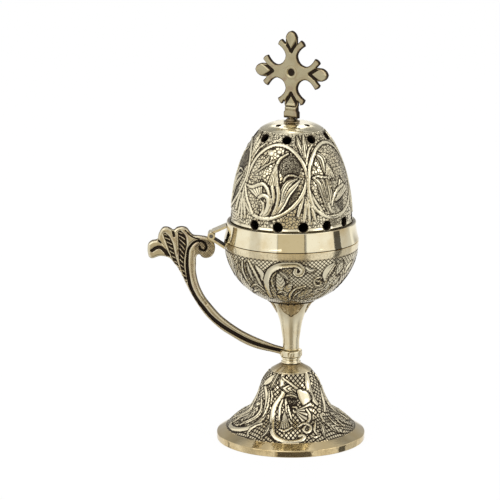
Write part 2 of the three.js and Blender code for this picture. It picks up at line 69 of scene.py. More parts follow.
camera_data = bpy.data.cameras.new("Camera")
camera_data.lens, camera_data.sensor_width, camera_data.clip_end = LENS_MM, SENSOR_MM, FAR_END
camera = bpy.data.objects.new("Camera", camera_data)
camera.location = CAMERA_PLACE
camera.rotation_euler = (AIMED_AT - camera.location).to_track_quat("-Z", "Y").to_euler()
bpy.context.scene.collection.objects.link(camera)
bpy.context.scene.camera = camera
print("camera looks down by", round(90 - camera.rotation_euler.x * 180 / pi, 2), "degrees")

# %% [markdown]
# ## From arrays to a mesh
# Every new surface is worked out as whole numpy arrays, in millimetres round the bowl's axis, and
# written into its mesh in one go. Which way the faces look is settled by the signed volume: where
# it comes out negative, every face is turned round. Numbers kept at the points, such as the height
# of the relief, go in as attributes that the materials can read.

# %% Mesh writer
def outward(points, faces):
    """Six times the enclosed volume is the sum of a . (b x c) over a fan of triangles in each
    face; a negative sum means that the faces look inwards, and each is reversed."""
    total = 0.0
    for block in faces:
        for k in range(1, block.shape[1] - 1):
            a, b, c = points[block[:, 0]], points[block[:, k]], points[block[:, k + 1]]
            total += np.einsum("ij,ij->", a, np.cross(b, c))
    return faces if total > 0 else [block[:, ::-1] for block in faces]


def add_piece(name, body, material, points, faces, values=None, crease=32):
    """Writes points (mm, round the bowl's axis) and blocks of faces into a new object."""
    corners = np.concatenate([block.ravel() for block in faces])
    used, index = np.unique(corners, return_inverse=True)
    cuts = np.cumsum([block.size for block in faces])[:-1]
    faces = [part.reshape(block.shape) for part, block in zip(np.split(index, cuts), faces)]
    points = points[used]
    faces = outward(points - points.mean(axis=0), faces)
    mesh = bpy.data.meshes.new(name)
    mesh.vertices.add(len(points))
    mesh.vertices.foreach_set("co", ((points + [AXIS_X, 0, 0]) * MM).ravel())
    corners = np.concatenate([block.ravel() for block in faces])
    sizes = np.concatenate([np.full(len(block), block.shape[1]) for block in faces])
    mesh.loops.add(len(corners))
    mesh.loops.foreach_set("vertex_index", corners.astype(np.int32))
    mesh.polygons.add(len(sizes))
    mesh.polygons.foreach_set("loop_start", (np.cumsum(sizes) - sizes).astype(np.int32))
    mesh.polygons.foreach_set("use_smooth", np.ones(len(sizes), dtype=bool))
    mesh.update(calc_edges=True)
    mesh.validate()
    mesh.set_sharp_from_angle(angle=radians(crease))
    for key, value in (values or {}).items():
        layer = mesh.attributes.new(key, "FLOAT", "POINT")
        layer.data.foreach_set("value", value.ravel()[used].astype(np.float32))
    mesh.materials.append(material)
    piece = bpy.data.objects.new(name, mesh)
    bpy.context.scene.collection.objects.link(piece)
    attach(piece, body)
    print(f"{name}: {int((sizes - 2).sum())} triangles")
    return piece

# %% [markdown]
# ## Finishes
# The metal is one brass in two states. Where hands and polish reach, it is pale gold and smooth;
# in the cut ground, patina has settled and is left there on purpose, brown to black and dull.
# The shader gets its maths from a small class, so that a mask can be written as a sum.

# %% Shader sums
class Wire:
    """One socket of a material, which can stand in sums: +, -, * and / add Math nodes."""

    def __init__(self, finish, socket):
        self.finish, self.socket = finish, socket

    def sum(self, operation, *terms):
        """A Math node on this value and any others."""
        inputs = dict(enumerate((self, *terms)))
        return self.finish.node("ShaderNodeMath", {"operation": operation}, inputs)

    def outputs(self):
        """All outputs of the node that this socket belongs to."""
        return [Wire(self.finish, socket) for socket in self.socket.node.outputs]

    def __add__(self, other): return self.sum("ADD", other)
    def __sub__(self, other): return self.sum("SUBTRACT", other)
    def __rsub__(self, other): return self.sum("MULTIPLY", -1.0).sum("ADD", other)
    def __mul__(self, other): return self.sum("MULTIPLY", other)
    def __truediv__(self, other): return self.sum("DIVIDE", other)
    __radd__, __rmul__ = __add__, __mul__

    def within(self, low, high):
        """Rises from 0 to 1 between low and high, smoothly."""
        settings = {"interpolation_type": "SMOOTHSTEP"}
        return self.finish.node("ShaderNodeMapRange", settings, {0: self, 1: low, 2: high})

# %% [markdown]
# A finish holds the nodes of one material. They all come from one method, which takes the type of
# the node, its settings and what goes into its sockets. The other methods are short names for the
# nodes that every finish here needs: a noise, an attribute, a blend of two colours and a bump.

# %% Finish
class Finish:
    """A material, or the world's tree, with one method for every node."""

    def __init__(self, name, owner=None):
        self.owner = owner or bpy.data.materials.new(name)
        self.owner.use_nodes = True
        self.tree = self.owner.node_tree
        self.tree.nodes.clear()

    def node(self, kind, settings=None, inputs=None, output=0):
        """Makes a node, sets it up, fills its sockets with values or links, gives one output."""
        made = self.tree.nodes.new(kind)
        for key, value in (settings or {}).items():
            setattr(made, key, value)
        for key, value in (inputs or {}).items():
            if isinstance(value, Wire):
                self.tree.links.new(value.socket, made.inputs[key])
            else:
                made.inputs[key].default_value = value
        return Wire(self, made.outputs[output]) if made.outputs else None

    def place(self):
        """Object coordinates, which stay with the piece when it moves."""
        return self.node("ShaderNodeTexCoord", output="Object")

    def noise(self, scale, detail=3.0, at=None):
        """Fractal noise round 0.5, finer as `scale` grows."""
        inputs = {"Vector": at or self.place(), "Scale": scale, "Detail": detail,
                  "Roughness": 0.55}
        return self.node("ShaderNodeTexNoise", None, inputs)

    def kept(self, name):
        """An attribute that the mesh carries at its points."""
        return self.node("ShaderNodeAttribute", {"attribute_name": name}, output="Fac")

    def blend(self, share, first, second):
        """The first colour where `share` is 0, the second where it is 1."""
        inputs = {0: share, 6: first, 7: second}
        return self.node("ShaderNodeMix", {"data_type": "RGBA"}, inputs, output=2)

    def bump(self, height, distance, strength=1.0, onto=None):
        """A normal tilted by the slope of `height`, which stands for `distance` metres."""
        inputs = {"Height": height, "Distance": distance, "Strength": strength}
        if onto:
            inputs["Normal"] = onto
        return self.node("ShaderNodeBump", None, inputs)

    def metal(self, colour, rough, metallic, normal):
        """Joins the four to a surface and gives the finished material."""
        inputs = {"Base Color": colour, "Roughness": rough, "Metallic": metallic,
                  "Normal": normal, "IOR": PATINA_IOR}
        surface = self.node("ShaderNodeBsdfPrincipled", None, inputs)
        self.node("ShaderNodeOutputMaterial", None, {"Surface": surface})
        return self.owner


PATINA_IOR = 1.22
PALE_GOLD = (0.88, 0.80, 0.58, 1)
WARM_GOLD = (0.66, 0.50, 0.25, 1)
CAST_GOLD = (0.70, 0.63, 0.45, 1)
CAST_DULL = (0.58, 0.47, 0.28, 1)
CAST_ROSE = (0.50, 0.38, 0.27, 1)
PATINA = (0.030, 0.020, 0.013, 1)
print("colours of the metal, pale to dark:", PALE_GOLD[:3], WARM_GOLD[:3], PATINA[:3])

# %% [markdown]
# The ground behind the ornament is worked over with a fine punch on the lid, which leaves pebbles,
# and cut into diamonds on the bowl and the foot. Both are finer than the mesh, so they are bump
# and colour together. The diamonds are drawn from three sides and mixed by the direction of the
# surface, so they keep their size all over a turned form.

# %% Patterns of the ground
def diamonds(finish, pitch):
    """The smaller of two folded sine waves that run diagonally, |sin(u + v)| and |sin(u - v)|:
    0 along the lines of a net and 1 in its meshes. It is seen along each axis and mixed by how
    squarely the surface faces that axis."""
    place = finish.node("ShaderNodeSeparateXYZ", None, {0: finish.place()})
    facing = finish.node("ShaderNodeTexCoord", output="Normal")
    facing = finish.node("ShaderNodeSeparateXYZ", None, {0: facing})
    x, y, z = place.outputs()
    total, weights = 0, 0
    for (u, v), toward in zip(((y, z), (x, z), (x, y)), facing.outputs()):
        first, second = ((way * (pi / pitch)).sum("SINE") for way in (u + v, u - v))
        net = first.sum("ABSOLUTE").sum("MINIMUM", second.sum("ABSOLUTE"))
        weight = toward.sum("ABSOLUTE").sum("POWER", 6.0)
        total, weights = total + net * weight, weights + weight
    return total / weights


def pebbles(finish, pitch):
    """1 inside each cell of a Voronoi pattern, falling to 0 along the edges between cells."""
    inputs = {"Vector": finish.place(), "Scale": 1 / pitch, "Randomness": 0.8}
    edge = finish.node("ShaderNodeTexVoronoi", {"feature": "DISTANCE_TO_EDGE"}, inputs)
    return edge.within(0.0, 0.34)

# %% [markdown]
# The engraved walls carry six attributes: `metal`, 1 on a raised line or leaf and 0 on the ground,
# `relief`, the height in millimetres, `hollow`, how much lower a point is than its surroundings,
# and `vein`, which counts the fine lines cut along or across a leaf. Two more mark where the
# ground is punched finer (`fine`) and where handling has warmed the gold (`worn`). Patina is left
# in the hollows, in the cut lines and in the ground's pattern, and is rubbed off what stands up.

# %% Engraved brass
def engraved_brass(name, ground, pitch, depth, bare, soot, cut, pale=PALE_GOLD):
    """`pitch` and `depth` of the ground's pattern are in metres. `bare` is how much of it is
    rubbed bright, as (from, to) of its value, `soot` is how dark the rest is, and `cut` how dark
    the fine lines of the leaves are. Those lines are (1 - cos(tau * vein)) / 2, sharpened."""
    finish = Finish(name)
    metal, relief, hollow, vein, fine, worn = (finish.kept(key) for key in (
        "metal", "relief", "hollow", "vein", "fine", "worn"))
    worked = ground(finish, pitch)
    dense = pebbles(finish, pitch * 0.5)
    worked = worked + (dense - worked) * fine
    clouds = finish.noise(95.0)
    grain = finish.noise(1100.0, 2.0)
    lines = (0.5 - (vein * tau).sum("COSINE") * 0.5).sum("POWER", 1.8)
    open_ground = 1 - metal
    low = 1 - relief.within(0.05, 0.30)
    rubbed = worked.within(*bare)
    dark = (open_ground * ((1 - rubbed) * soot + fine * 0.55)
            + metal * (lines * cut + low * 0.12) + hollow * 0.95)
    dark = (dark + (grain - 0.5) * 0.5 + (clouds - 0.5) * 0.4).within(0.10, 0.88)
    warm = (clouds * 0.7 + open_ground * 0.2 + hollow * 0.3 + worn).within(0.35, 1.2)
    gold = finish.blend(warm, pale, WARM_GOLD)
    colour = finish.blend(dark, gold, PATINA)
    rough = 0.17 + dark * 0.36 + (grain - 0.5) * (0.12 - worn * 0.18) - worn * 0.24
    carved = finish.bump(rubbed * open_ground - lines * metal * 0.5, depth)
    soft = finish.bump(grain * 0.5 + clouds * 0.5, 0.00006, 0.6, carved)
    return finish.metal(colour, rough, 1 - dark * 0.5, soft)


pebbled_brass = engraved_brass("pebbled_brass", pebbles, 0.00155, 0.00022, bare=(0.05, 0.36),
                               soot=0.73, cut=0.58)
bowl_brass = engraved_brass("hatched_brass", diamonds, 0.00200, 0.00020, bare=(0.22, 0.48),
                            soot=1.15, cut=0.68)
foot_brass = engraved_brass("deep_hatched_brass", diamonds, 0.00225, 0.00028, bare=(0.36, 0.58),
                            soot=1.9, cut=1.1, pale=(0.94, 0.84, 0.60, 1))
print("engraved finishes:", pebbled_brass.name, bowl_brass.name, foot_brass.name)

# %% [markdown]
# Polished brass is never quite even: the buffing wheel leaves fine turned lines, handling leaves
# faint clouds, and the metal warms where the lacquer has worn. All three change the roughness
# more than the colour. Steel is the same idea with another colour, for the bolt, washers, nuts
# and cup. Soot lies on what the smoke reaches.

# %% Polished metal
def polished(name, bright, dull, rough, lines=0.000012):
    """Noise squeezed along the axis gives the wheel's lines, `lines` metres deep."""
    finish = Finish(name)
    stretched = finish.node("ShaderNodeMapping", None,
                            {"Vector": finish.place(), "Scale": (60, 60, 2600)})
    turned_lines = finish.noise(1.0, 2.0, at=stretched)
    clouds = finish.noise(70.0, 4.0)
    specks = finish.noise(1500.0, 1.0).within(0.66, 0.74)
    soot = finish.kept("soot") * (0.75 + 0.25 * clouds)
    colour = finish.blend(clouds.within(0.42, 0.85), bright, dull)
    colour = finish.blend(specks * 0.35, colour, dull)
    colour = finish.blend(soot, colour, PATINA)
    gloss = rough + turned_lines * 0.05 + clouds * 0.04 + specks * 0.12 + soot * 0.4
    normal = finish.bump(turned_lines, lines, 0.5)
    return finish.metal(colour, gloss, 1 - soot * 0.6, normal)


bright_brass = polished("bright_brass", PALE_GOLD, WARM_GOLD, 0.025, lines=0.000004)
pin_steel = polished("pin_steel", (0.20, 0.19, 0.18, 1), (0.08, 0.07, 0.06, 1), 0.35)
bolt_steel = polished("bolt_steel", (0.55, 0.56, 0.58, 1), (0.30, 0.30, 0.31, 1), 0.26)
cup_sheet = polished("cup_sheet", (0.50, 0.49, 0.47, 1), (0.16, 0.14, 0.12, 1), 0.34)
print("polished finishes:", bright_brass.name, pin_steel.name, bolt_steel.name, cup_sheet.name)

# %% [markdown]
# Cast and turned brass that isn't buffed keeps a thin uneven patina, with more in its grooves. It
# could be painted by hand, but the attribute `hollow` already knows where the grooves are. The
# hinge's leaves get painted shade instead, on the faces that look towards the bowl's axis.

# %% Relieved brass and the hinge
def relieved_brass(name, bright, dull, rough, tint=None, mottle=1.0):
    """Plain brass with patina left in its grooves, where the attribute `hollow` is high, and
    thin uneven patina elsewhere, as strong as `mottle`."""
    finish = Finish(name)
    hollow = finish.kept("hollow")
    grain, clouds = finish.noise(750.0, 3.0), finish.noise(120.0, 4.0)
    dark = (hollow + ((grain - 0.5) * 0.6 + (clouds - 0.5) * 0.5) * mottle).within(0.12, 0.80)
    warm = (clouds * 0.9 + hollow * 0.8).within(0.35, 0.85)
    gold = finish.blend(warm, bright, dull)
    if tint:
        gold = finish.blend(finish.noise(260.0, 2.0).within(0.52, 0.70) * 0.5, gold, tint)
    colour = finish.blend(dark, gold, PATINA)
    gloss = rough + dark * 0.4 + ((grain - 0.5) * 0.14 + (clouds - 0.5) * 0.12) * mottle
    normal = finish.bump((grain * 0.6 + clouds * 1.4) * mottle, 0.00009, 0.7)
    return finish.metal(colour, gloss, 1 - dark * 0.5, normal)


def shaded_hinge_brass(name):
    """Bright outside, with painted shade on the faces of the two leaves that look into the gap
    between them, towards the bowl's axis: the more a face turns that way, the darker it is."""
    finish = Finish(name)
    facing = finish.node("ShaderNodeTexCoord", output="Normal")
    shade_toward_axis = finish.node("ShaderNodeSeparateXYZ", None, {0: facing})
    grain = finish.noise(900.0, 3.0)
    # Painted shade: darker as the face's normal turns towards the bowl's axis (+x).
    dark = (shade_toward_axis + (grain - 0.5) * 0.3).within(0.15, 0.45)
    gold = finish.blend(grain.within(0.4, 0.8), PALE_GOLD, WARM_GOLD)
    colour = finish.blend(dark, gold, PATINA)
    normal = finish.bump(grain, 0.00003, 0.5)
    return finish.metal(colour, 0.2 + dark * 0.4 + grain * 0.08, 1 - dark * 0.5, normal)


worn_brass = relieved_brass("worn_brass", (0.82, 0.74, 0.53, 1), WARM_GOLD, 0.34, mottle=0.3)
cast_brass = relieved_brass("cast_brass", CAST_GOLD, CAST_DULL, 0.24, CAST_ROSE)
cross_brass = relieved_brass("cross_brass", (0.50, 0.44, 0.28, 1), (0.38, 0.29, 0.15, 1), 0.30,
                             tint=(0.36, 0.24, 0.16, 1))
collar_brass = relieved_brass("collar_brass", (0.31, 0.24, 0.14, 1), (0.14, 0.105, 0.06, 1),
                              0.26, tint=(0.10, 0.06, 0.05, 1))
leaf_brass = shaded_hinge_brass("shaded_hinge_brass")
print("relieved finishes:", worn_brass.name, cast_brass.name, cross_brass.name,
      collar_brass.name, leaf_brass.name)

# %% [markdown]
# The bolt, its washers and nuts, and the hinge are right as the frame has them: small, plain and
# sharp-edged. They keep their shape and only get a finish.

# %% Frame parts kept
PLAIN_FINISHES = {
    "bolt_washer": bolt_steel, "foot_washer": bolt_steel, "foot_nut": bolt_steel,
    "tie_bolt": bolt_steel, "cross_washer": bolt_steel, "cross_nut": bolt_steel,
    "hinge_lower_leaf": leaf_brass, "hinge_upper_leaf": leaf_brass, "hinge_pin": pin_steel,
}
for node, material in PLAIN_FINISHES.items():
    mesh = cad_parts[node].data
    if mesh.materials:
        mesh.materials[0] = material
    else:
        mesh.materials.append(material)
print("frame parts kept as they are, with a finish:", len(PLAIN_FINISHES))

# %% [markdown]
# ## Turned forms
# Foot, collar, stem, bowl, band, dome and cup are all turned: a profile of radius and height is
# carried round the axis. A Screw modifier could do it too, but the relief needs every point in an
# array. The profiles are drawn with a few helpers for curves. Their corners are eased, because a
# sharp edge catches no light.

# %% Curves
def smooth(low, high, value):
    """Rises from 0 at low to 1 at high along 3t^2 - 2t^3."""
    t = np.clip((value - low) / (high - low), 0, 1)
    return t * t * (3 - 2 * t)


def tent(value, middle, half):
    """1 at the middle, falling straight to 0 at `half` on both sides."""
    return np.clip(1 - np.abs(value - middle) / half, 0, 1)


def eased(corners, steps=5):
    """A profile from (radius, height, easing) corners: each eased corner becomes a quadratic
    curve that begins and ends `easing` away from it."""
    points, steps = [], np.linspace(0, 1, steps)[:, None]
    places = np.array([corner[:2] for corner in corners], float)
    for k, (here, corner) in enumerate(zip(places, corners)):
        if corner[2] == 0:
            points.append(here[None])
            continue
        before, after = places[k - 1] - here, places[(k + 1) % len(places)] - here
        start = here + before / np.linalg.norm(before) * corner[2]
        end = here + after / np.linalg.norm(after) * corner[2]
        points.append((1 - steps) ** 2 * start + 2 * steps * (1 - steps) * here
                      + steps ** 2 * end)
    return np.vstack(points)


def through(points, count=14):
    """A curve through the points: between two of them the cubic whose slope at each point is
    half the step from the point before it to the point after it."""
    p = np.array(points, float)
    p = np.vstack([2 * p[0] - p[1], p, 2 * p[-1] - p[-2]])
    t = np.linspace(0, 1, count, endpoint=False)[:, None, None]
    a, b, c, d = p[:-3], p[1:-2], p[2:-1], p[3:]
    curve = 0.5 * (2 * b + (c - a) * t + (2 * a - 5 * b + 4 * c - d) * t ** 2
                   + (3 * b - a - 3 * c + d) * t ** 3)
    return np.vstack([curve.transpose(1, 0, 2).reshape(-1, 2), p[-2:-1]])


def travelled(curve):
    """Length along a polyline up to each of its points."""
    return np.concatenate([[0], np.cumsum(np.hypot(*np.diff(curve, axis=0).T))])


def evenly(curve, spacing):
    """The same curve with points at equal steps of about `spacing`."""
    length = travelled(curve)
    at = np.linspace(0, length[-1], max(2, int(round(length[-1] / spacing)) + 1))
    return np.column_stack([np.interp(at, length, curve[:, k]) for k in range(curve.shape[1])])


def ellipse(radius, rise, centre, from_radius, to_radius, side, count=400):
    """Points of a quarter ellipse: radius * cos(angle) and centre + side * rise * sin(angle)."""
    angle = np.linspace(np.arccos(min(1, from_radius / radius)),
                        np.arccos(min(1, to_radius / radius)), count)
    return np.column_stack([radius * np.cos(angle), centre + side * rise * np.sin(angle)])


print("a square corner eased by 1 mm:", eased([(0, 0, 0), (9, 0, 1), (9, 9, 0)], 3).tolist())

# %% [markdown]
# Most of these pieces have a bore for the bolt, so the profile is a closed loop and the grid of
# rows and columns closes on itself both ways, like a ring. A piece without a bore starts and ends
# on the axis, where a fan of triangles closes it.

# %% Turning
def even_angles(columns):
    """Degrees round the axis at which the columns stand."""
    return np.arange(columns) * 360 / columns


def ring_faces(rows, columns, closed=True):
    """Quads between neighbouring rows and columns; the last column joins the first, and in a
    closed ring the last row joins the first row too."""
    steps = rows if closed else rows - 1
    i, j = np.meshgrid(np.arange(steps), np.arange(columns), indexing="ij")
    below, beside = (i + 1) % rows, (j + 1) % columns
    corners = np.stack([i * columns + j, i * columns + beside,
                        below * columns + beside, below * columns + j], axis=-1)
    return corners.reshape(-1, 4)


def carried_round(radius, height, angles):
    """Rows of radius and height (each a column or a whole grid) turned to the angles in degrees,
    measured from the front towards +X."""
    turn = np.radians(angles - 90)
    radius, height = np.broadcast_arrays(radius, height + 0 * turn)
    return np.stack([radius * np.cos(turn), radius * np.sin(turn), height], axis=-1)


def turned(name, body, material, profile, columns=160, replaces=None, soot=None):
    """A plain turned piece. A profile that touches the axis is closed there by a fan. `soot`
    marks the rows that smoke reaches."""
    grid = carried_round(profile[:, :1], profile[:, 1:], even_angles(columns)).reshape(-1, 3)
    if profile[0, 0] > 0:
        faces = [ring_faces(len(profile), columns)]
    else:
        rows = len(profile)
        faces = [ring_faces(rows - 2, columns, closed=False) + columns]
        j = np.arange(columns)
        beside = (j + 1) % columns
        first, last = columns, (rows - 2) * columns
        faces.append(np.column_stack([np.zeros(columns, int), first + beside, first + j]))
        faces.append(np.column_stack([np.full(columns, (rows - 1) * columns),
                                      last + j, last + beside]))
    values = {} if soot is None else {"soot": np.repeat(soot.astype(float), columns)}
    piece = add_piece(name, body, material, grid, faces, values)
    if replaces:
        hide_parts(replaces)


print("faces of a ring of 3 rows and 4 columns:", len(ring_faces(3, 4)))

# %% [markdown]
# ## Engraving as a height field
# The ornament is a common scrolling acanthus. Each stroke of the engraver's tool is a curve in
# the plane of the unrolled wall, with degrees round the axis and millimetres along the profile.
# Each kind of stroke has five things: how its half width runs along it, as a share from 0 to 1;
# the count of fine lines at a point, where `u` is the share of the half width and `along` and
# `across` are in mm; the height that is the same all over; how far the fine lines raise and lower
# it; and the height of its rounded crown.

# %% Kinds of stroke
def leaf_shape(share):
    """A pointed oval: a sine that starts and stops a little short of its ends."""
    return np.sin(pi * (0.08 + 0.88 * share)) ** 0.6


def no_lines(u, along, across):
    """A body without fine lines."""
    return 0 * u


KINDS = {
    "ridge": (lambda share: 0.5 + 0.5 * np.sqrt(np.sin(pi * np.clip(share, 0.02, 0.98))),
              no_lines, 0.0, 0.0, 0.40),
    "border": (lambda share: 1.0 + 0 * share, no_lines, 0.0, 0.0, 0.36),
    "blade": (lambda share: np.sin(pi * (0.12 + 0.84 * share)) ** 0.75,
              lambda u, along, across: u, 0.24, 0.13, 0.0),
    "veined": (leaf_shape, lambda u, along, across: (along - 1.5 * np.abs(across)) / 2.4,
               0.16, 0.07, 0.16),
    "plain": (leaf_shape, lambda u, along, across: 0.5 * u ** 4, 0.14, 0.12, 0.06),
    "fan": (lambda share: 0.15 + 0.85 * share, lambda u, along, across: 2.5 * u,
            0.18, 0.10, 0.12),
    "field": (leaf_shape, no_lines, 0.0, 0.0, 0.0),
}
print("kinds of stroke:", ", ".join(KINDS))

# %% [markdown]
# For every point of the grid, the nearest place on a stroke's curve says how far across and how
# far along it lies, and the kind turns this into a height. Later strokes lie over earlier ones,
# each with a thin groove round it, as leaves overlap in real engraving. A `field` is no leaf: it
# marks where the ground is punched finer.

# %% Engraving
SOFT_EDGE = 0.16
GROOVE_OFF, GROOVE_HALF, GROOVE_DEPTH = 0.3, 0.5, 0.18
BUD_RISE = 0.42


class Engraving:
    """Relief on a turned wall, in mm, over rows (lengths, radii) and columns (angles). After
    `period` degrees the ornament repeats."""
    def __init__(self, angles, lengths, radii, period):
        self.angles, self.lengths, self.radii, self.period = angles, lengths, radii, period
        self.height, self.metal, self.vein, self.fine, self.outline = (
            np.zeros((len(lengths), len(angles))) for _ in range(5))

    def turn_from(self, angles):
        """Degrees from `angles` to each column, by the shorter way round."""
        half = self.period / 2
        return (self.angles[:, None] - angles + half) % self.period - half

    def across(self, curve):
        """Signed distance across the curve, distance along it and its length, in mm."""
        x = np.radians(self.turn_from(curve[:, 0])) * self.radii[:, None, None]
        y = self.lengths[:, None, None] - curve[:, 1] + 0 * x
        k = np.argmin(x * x + y * y, axis=2)[..., None]
        x, y = (np.take_along_axis(v, k, axis=2)[..., 0] for v in (x, y))
        radius = np.interp(curve[:, 1], self.lengths, self.radii)
        steps = np.diff(curve, axis=0)
        steps[:, 0] *= np.radians(radius[:-1])
        along = np.concatenate([[0], np.cumsum(np.hypot(*steps.T))])
        tangent = np.gradient(curve, axis=0)
        tangent[:, 0] *= np.radians(radius)
        tangent /= np.hypot(*tangent.T)[:, None] + 1e-9
        t, k = tangent[k[..., 0]], k[..., 0]
        return t[..., 0] * y - t[..., 1] * x, along[k] + t[..., 0] * x + t[..., 1] * y, along[-1]

    def stroke(self, kind, half_width, points):
        """Lays one stroke over what is there: a body, and a groove round it. More than 40
        points are taken as a finished curve, fewer are joined by one."""
        curve = np.array(points) if len(points) > 40 else through(points)
        across, along, length = self.across(curve)
        taper, lines, base, swing, crown = KINDS[kind]
        width = half_width * taper(np.clip(along / length, 0, 1))
        past = np.maximum(0, -along) + np.maximum(0, along - length)
        off = np.hypot(past * (4 if kind == "fan" else 1), across)
        body = 1 - smooth(width - SOFT_EDGE, width + SOFT_EDGE, off)
        if kind == "field":
            self.fine = np.maximum(self.fine, body)
            return
        u = np.clip(across / width, -1, 1)
        count = lines(u, along, across)
        profile = base + swing * np.cos(tau * count) + crown * np.sqrt(1 - u * u)
        groove = tent(off - width, GROOVE_OFF, GROOVE_HALF) * (1 - body)
        self.outline = np.maximum(self.outline * (1 - body), groove)
        self.height = (self.height - GROOVE_DEPTH * groove) * (1 - body) + profile * body
        self.metal = np.maximum(self.metal * (1 - 0.9 * groove), body)
        self.vein = np.where(body > 0.3, count, self.vein)

    def bud(self, radius, at):
        """A round boss: height falls as 1 - (distance / radius)^2."""
        x = np.radians(self.turn_from(at[0]).T) * self.radii[:, None]
        off = np.hypot(x, self.lengths[:, None] - at[1])
        body = 1 - smooth(radius - 0.2, radius + 0.2, off)
        self.height = self.height * (1 - body) + BUD_RISE * (1 - (off / radius) ** 2) * body
        self.metal = np.maximum(self.metal, body)
        self.vein = np.where(body > 0.3, 0, self.vein)

    def work(self, strokes, turn=0.0):
        """Lays all strokes of a drawing, turned by `turn` degrees round the axis."""
        for kind, size, points in strokes:
            moved = [(angle + turn, length) for angle, length in points]
            if kind == "bud":
                self.bud(size, moved[0])
            else:
                self.stroke(kind, size, moved)


print("groove round a stroke:", GROOVE_DEPTH, "mm deep;  bud:", BUD_RISE, "mm high")

# %% [markdown]
# Patina gathers where the surface is lower than what lies around it. A pointiness node would find
# this too, but only at the corners of the mesh. The difference between the relief and a blurred
# copy of it gives the same at any width.

# %% Hollows
DEEP = 0.22


def hollows(height):
    """How much lower each point is than its surroundings, from 0 to 1 at `DEEP` mm. These are a
    blurred copy: the mean of a point and its neighbours two steps away, taken three times."""
    around = height
    for _ in range(3):
        for axis in (0, 1):
            around = (around + np.roll(around, 2, axis) + np.roll(around, -2, axis)) / 3
    return np.clip((around - height) / DEEP, 0, 1)


print("patina is full where the relief lies", DEEP, "mm below its surroundings")

# %% [markdown]
# ## The ornament
# Five drawings, each a list of strokes: the kind, half its width in millimetres, and its curve as
# (degrees round the axis, millimetres along the profile). On the lid and the foot the lengths
# rise from the lower edge; on the bowl they run down from the rim. Scrolls and palm leaves like
# these are traditional. The lid has two medallions, one with a scroll and a spray of leaves and
# one with leaves alone, and loose leaves that fill the corners between them.

# %% Drawings for the lid
SCROLL_MEDALLION = [
    ("field", 5.6, [(1.6, 26.5), (-1.6, 31.8), (-5.5, 38.3)]),
    ("ridge", 0.7, [(-12, 19.8), (-14.9, 25.5), (-16.9, 31.3), (-14.9, 36.1), (-4.6, 39.3)]),
    ("ridge", 0.48, [(-8.8, 25.3), (-5.7, 27.6), (-0.7, 28.5), (5.3, 27.7), (9.9, 26.8)]),
    ("field", 2.3, [(5.3, 22.2), (-0.1, 17.6), (-7.3, 12.1)]),
    ("blade", 2.2, [(-17.3, 8.2), (-10.5, 13.6), (-4.1, 19.9), (8.6, 25.9)]),
    ("blade", 1.4, [(-10, 16), (-8.1, 20.6), (-2.9, 24.6), (6.1, 26.7)]),
    ("ridge", 0.48, [(-16.1, 7.6), (-3.4, 10.6), (6.2, 14.9), (11.7, 20.2)]),
    ("ridge", 0.85, [(-18.1, 8.9), (-14.3, 13.5), (-13.1, 18.6), (-14.8, 22.8), (-17.7, 23.9),
        (-20, 22.7), (-18, 17.7), (-19.8, 12.6), (-24, 8.1)]),
    ("fan", 4.8, [(-31.4, 15.9), (-39.5, 22.3)]),
    ("ridge", 0.8, [(-51.8, 21.6), (-43.5, 21.3), (-36.6, 22.6), (-31, 23.4), (-25.9, 21.7),
        (-22.2, 17.9), (-20.6, 14.1), (-22.6, 10.1), (-27.3, 7.4)]),
    ("ridge", 1.0, [(-33.4, 16.6), (-29.3, 17.9), (-24.5, 17.2), (-22.8, 14.4), (-24.4, 11.2),
        (-29.8, 7.4)]),
    ("ridge", 0.54, [(-31.3, 15.5), (-27.9, 13), (-28.1, 10.3), (-31.1, 7.7)]),
    ("fan", 2.9, [(-18, 33.6), (-19.5, 23.6)]),
    ("blade", 1.21, [(-35.7, 31.6), (-31.8, 34.8), (-29.1, 37.3)]),
    ("bud", 1.6, [(-27.4, 39)]),
    ("ridge", 0.36, [(-42.2, 28.6), (-30.5, 32.6), (-17.9, 36.3)]),
    ("ridge", 0.42, [(-58.1, 13.1), (-60.7, 8.9), (-61.1, 5.7)]),
]

LEAF_MEDALLION = [
    ("blade", 1.9, [(31.3, 38.7), (38.5, 36.2), (39.5, 32.5), (38.6, 28.7)]),
    ("fan", 3.3, [(44.5, 33.4), (45.2, 26.1)]),
    ("ridge", 0.48, [(24, 32.4), (27.2, 36.6), (32.5, 38.7)]),
    ("blade", 2.0, [(38.3, 10.5), (33.8, 19), (30.2, 23.9), (23.7, 27.1)]),
    ("blade", 1.45, [(39, 11.3), (37.1, 18.8), (34.4, 24.8), (31.2, 27.1)]),
    ("blade", 1.45, [(41.3, 12.3), (40.8, 18.6), (40, 22.9), (39.3, 26.5)]),
    ("ridge", 0.48, [(22.6, 26.8), (29.3, 27.4), (36, 26.7), (45.7, 25.9)]),
    ("field", 3.4, [(55.8, 9.5), (54.1, 13.6), (58.3, 17.2)]),
    ("fan", 4.2, [(47.5, 14.2), (64.1, 21.1)]),
    ("ridge", 0.8, [(42.3, 12.2), (45.1, 15.5), (52.3, 19.3), (64.1, 21.1)]),
    ("ridge", 0.7, [(45, 8.5), (41, 9.9), (38, 13.3)]),
]

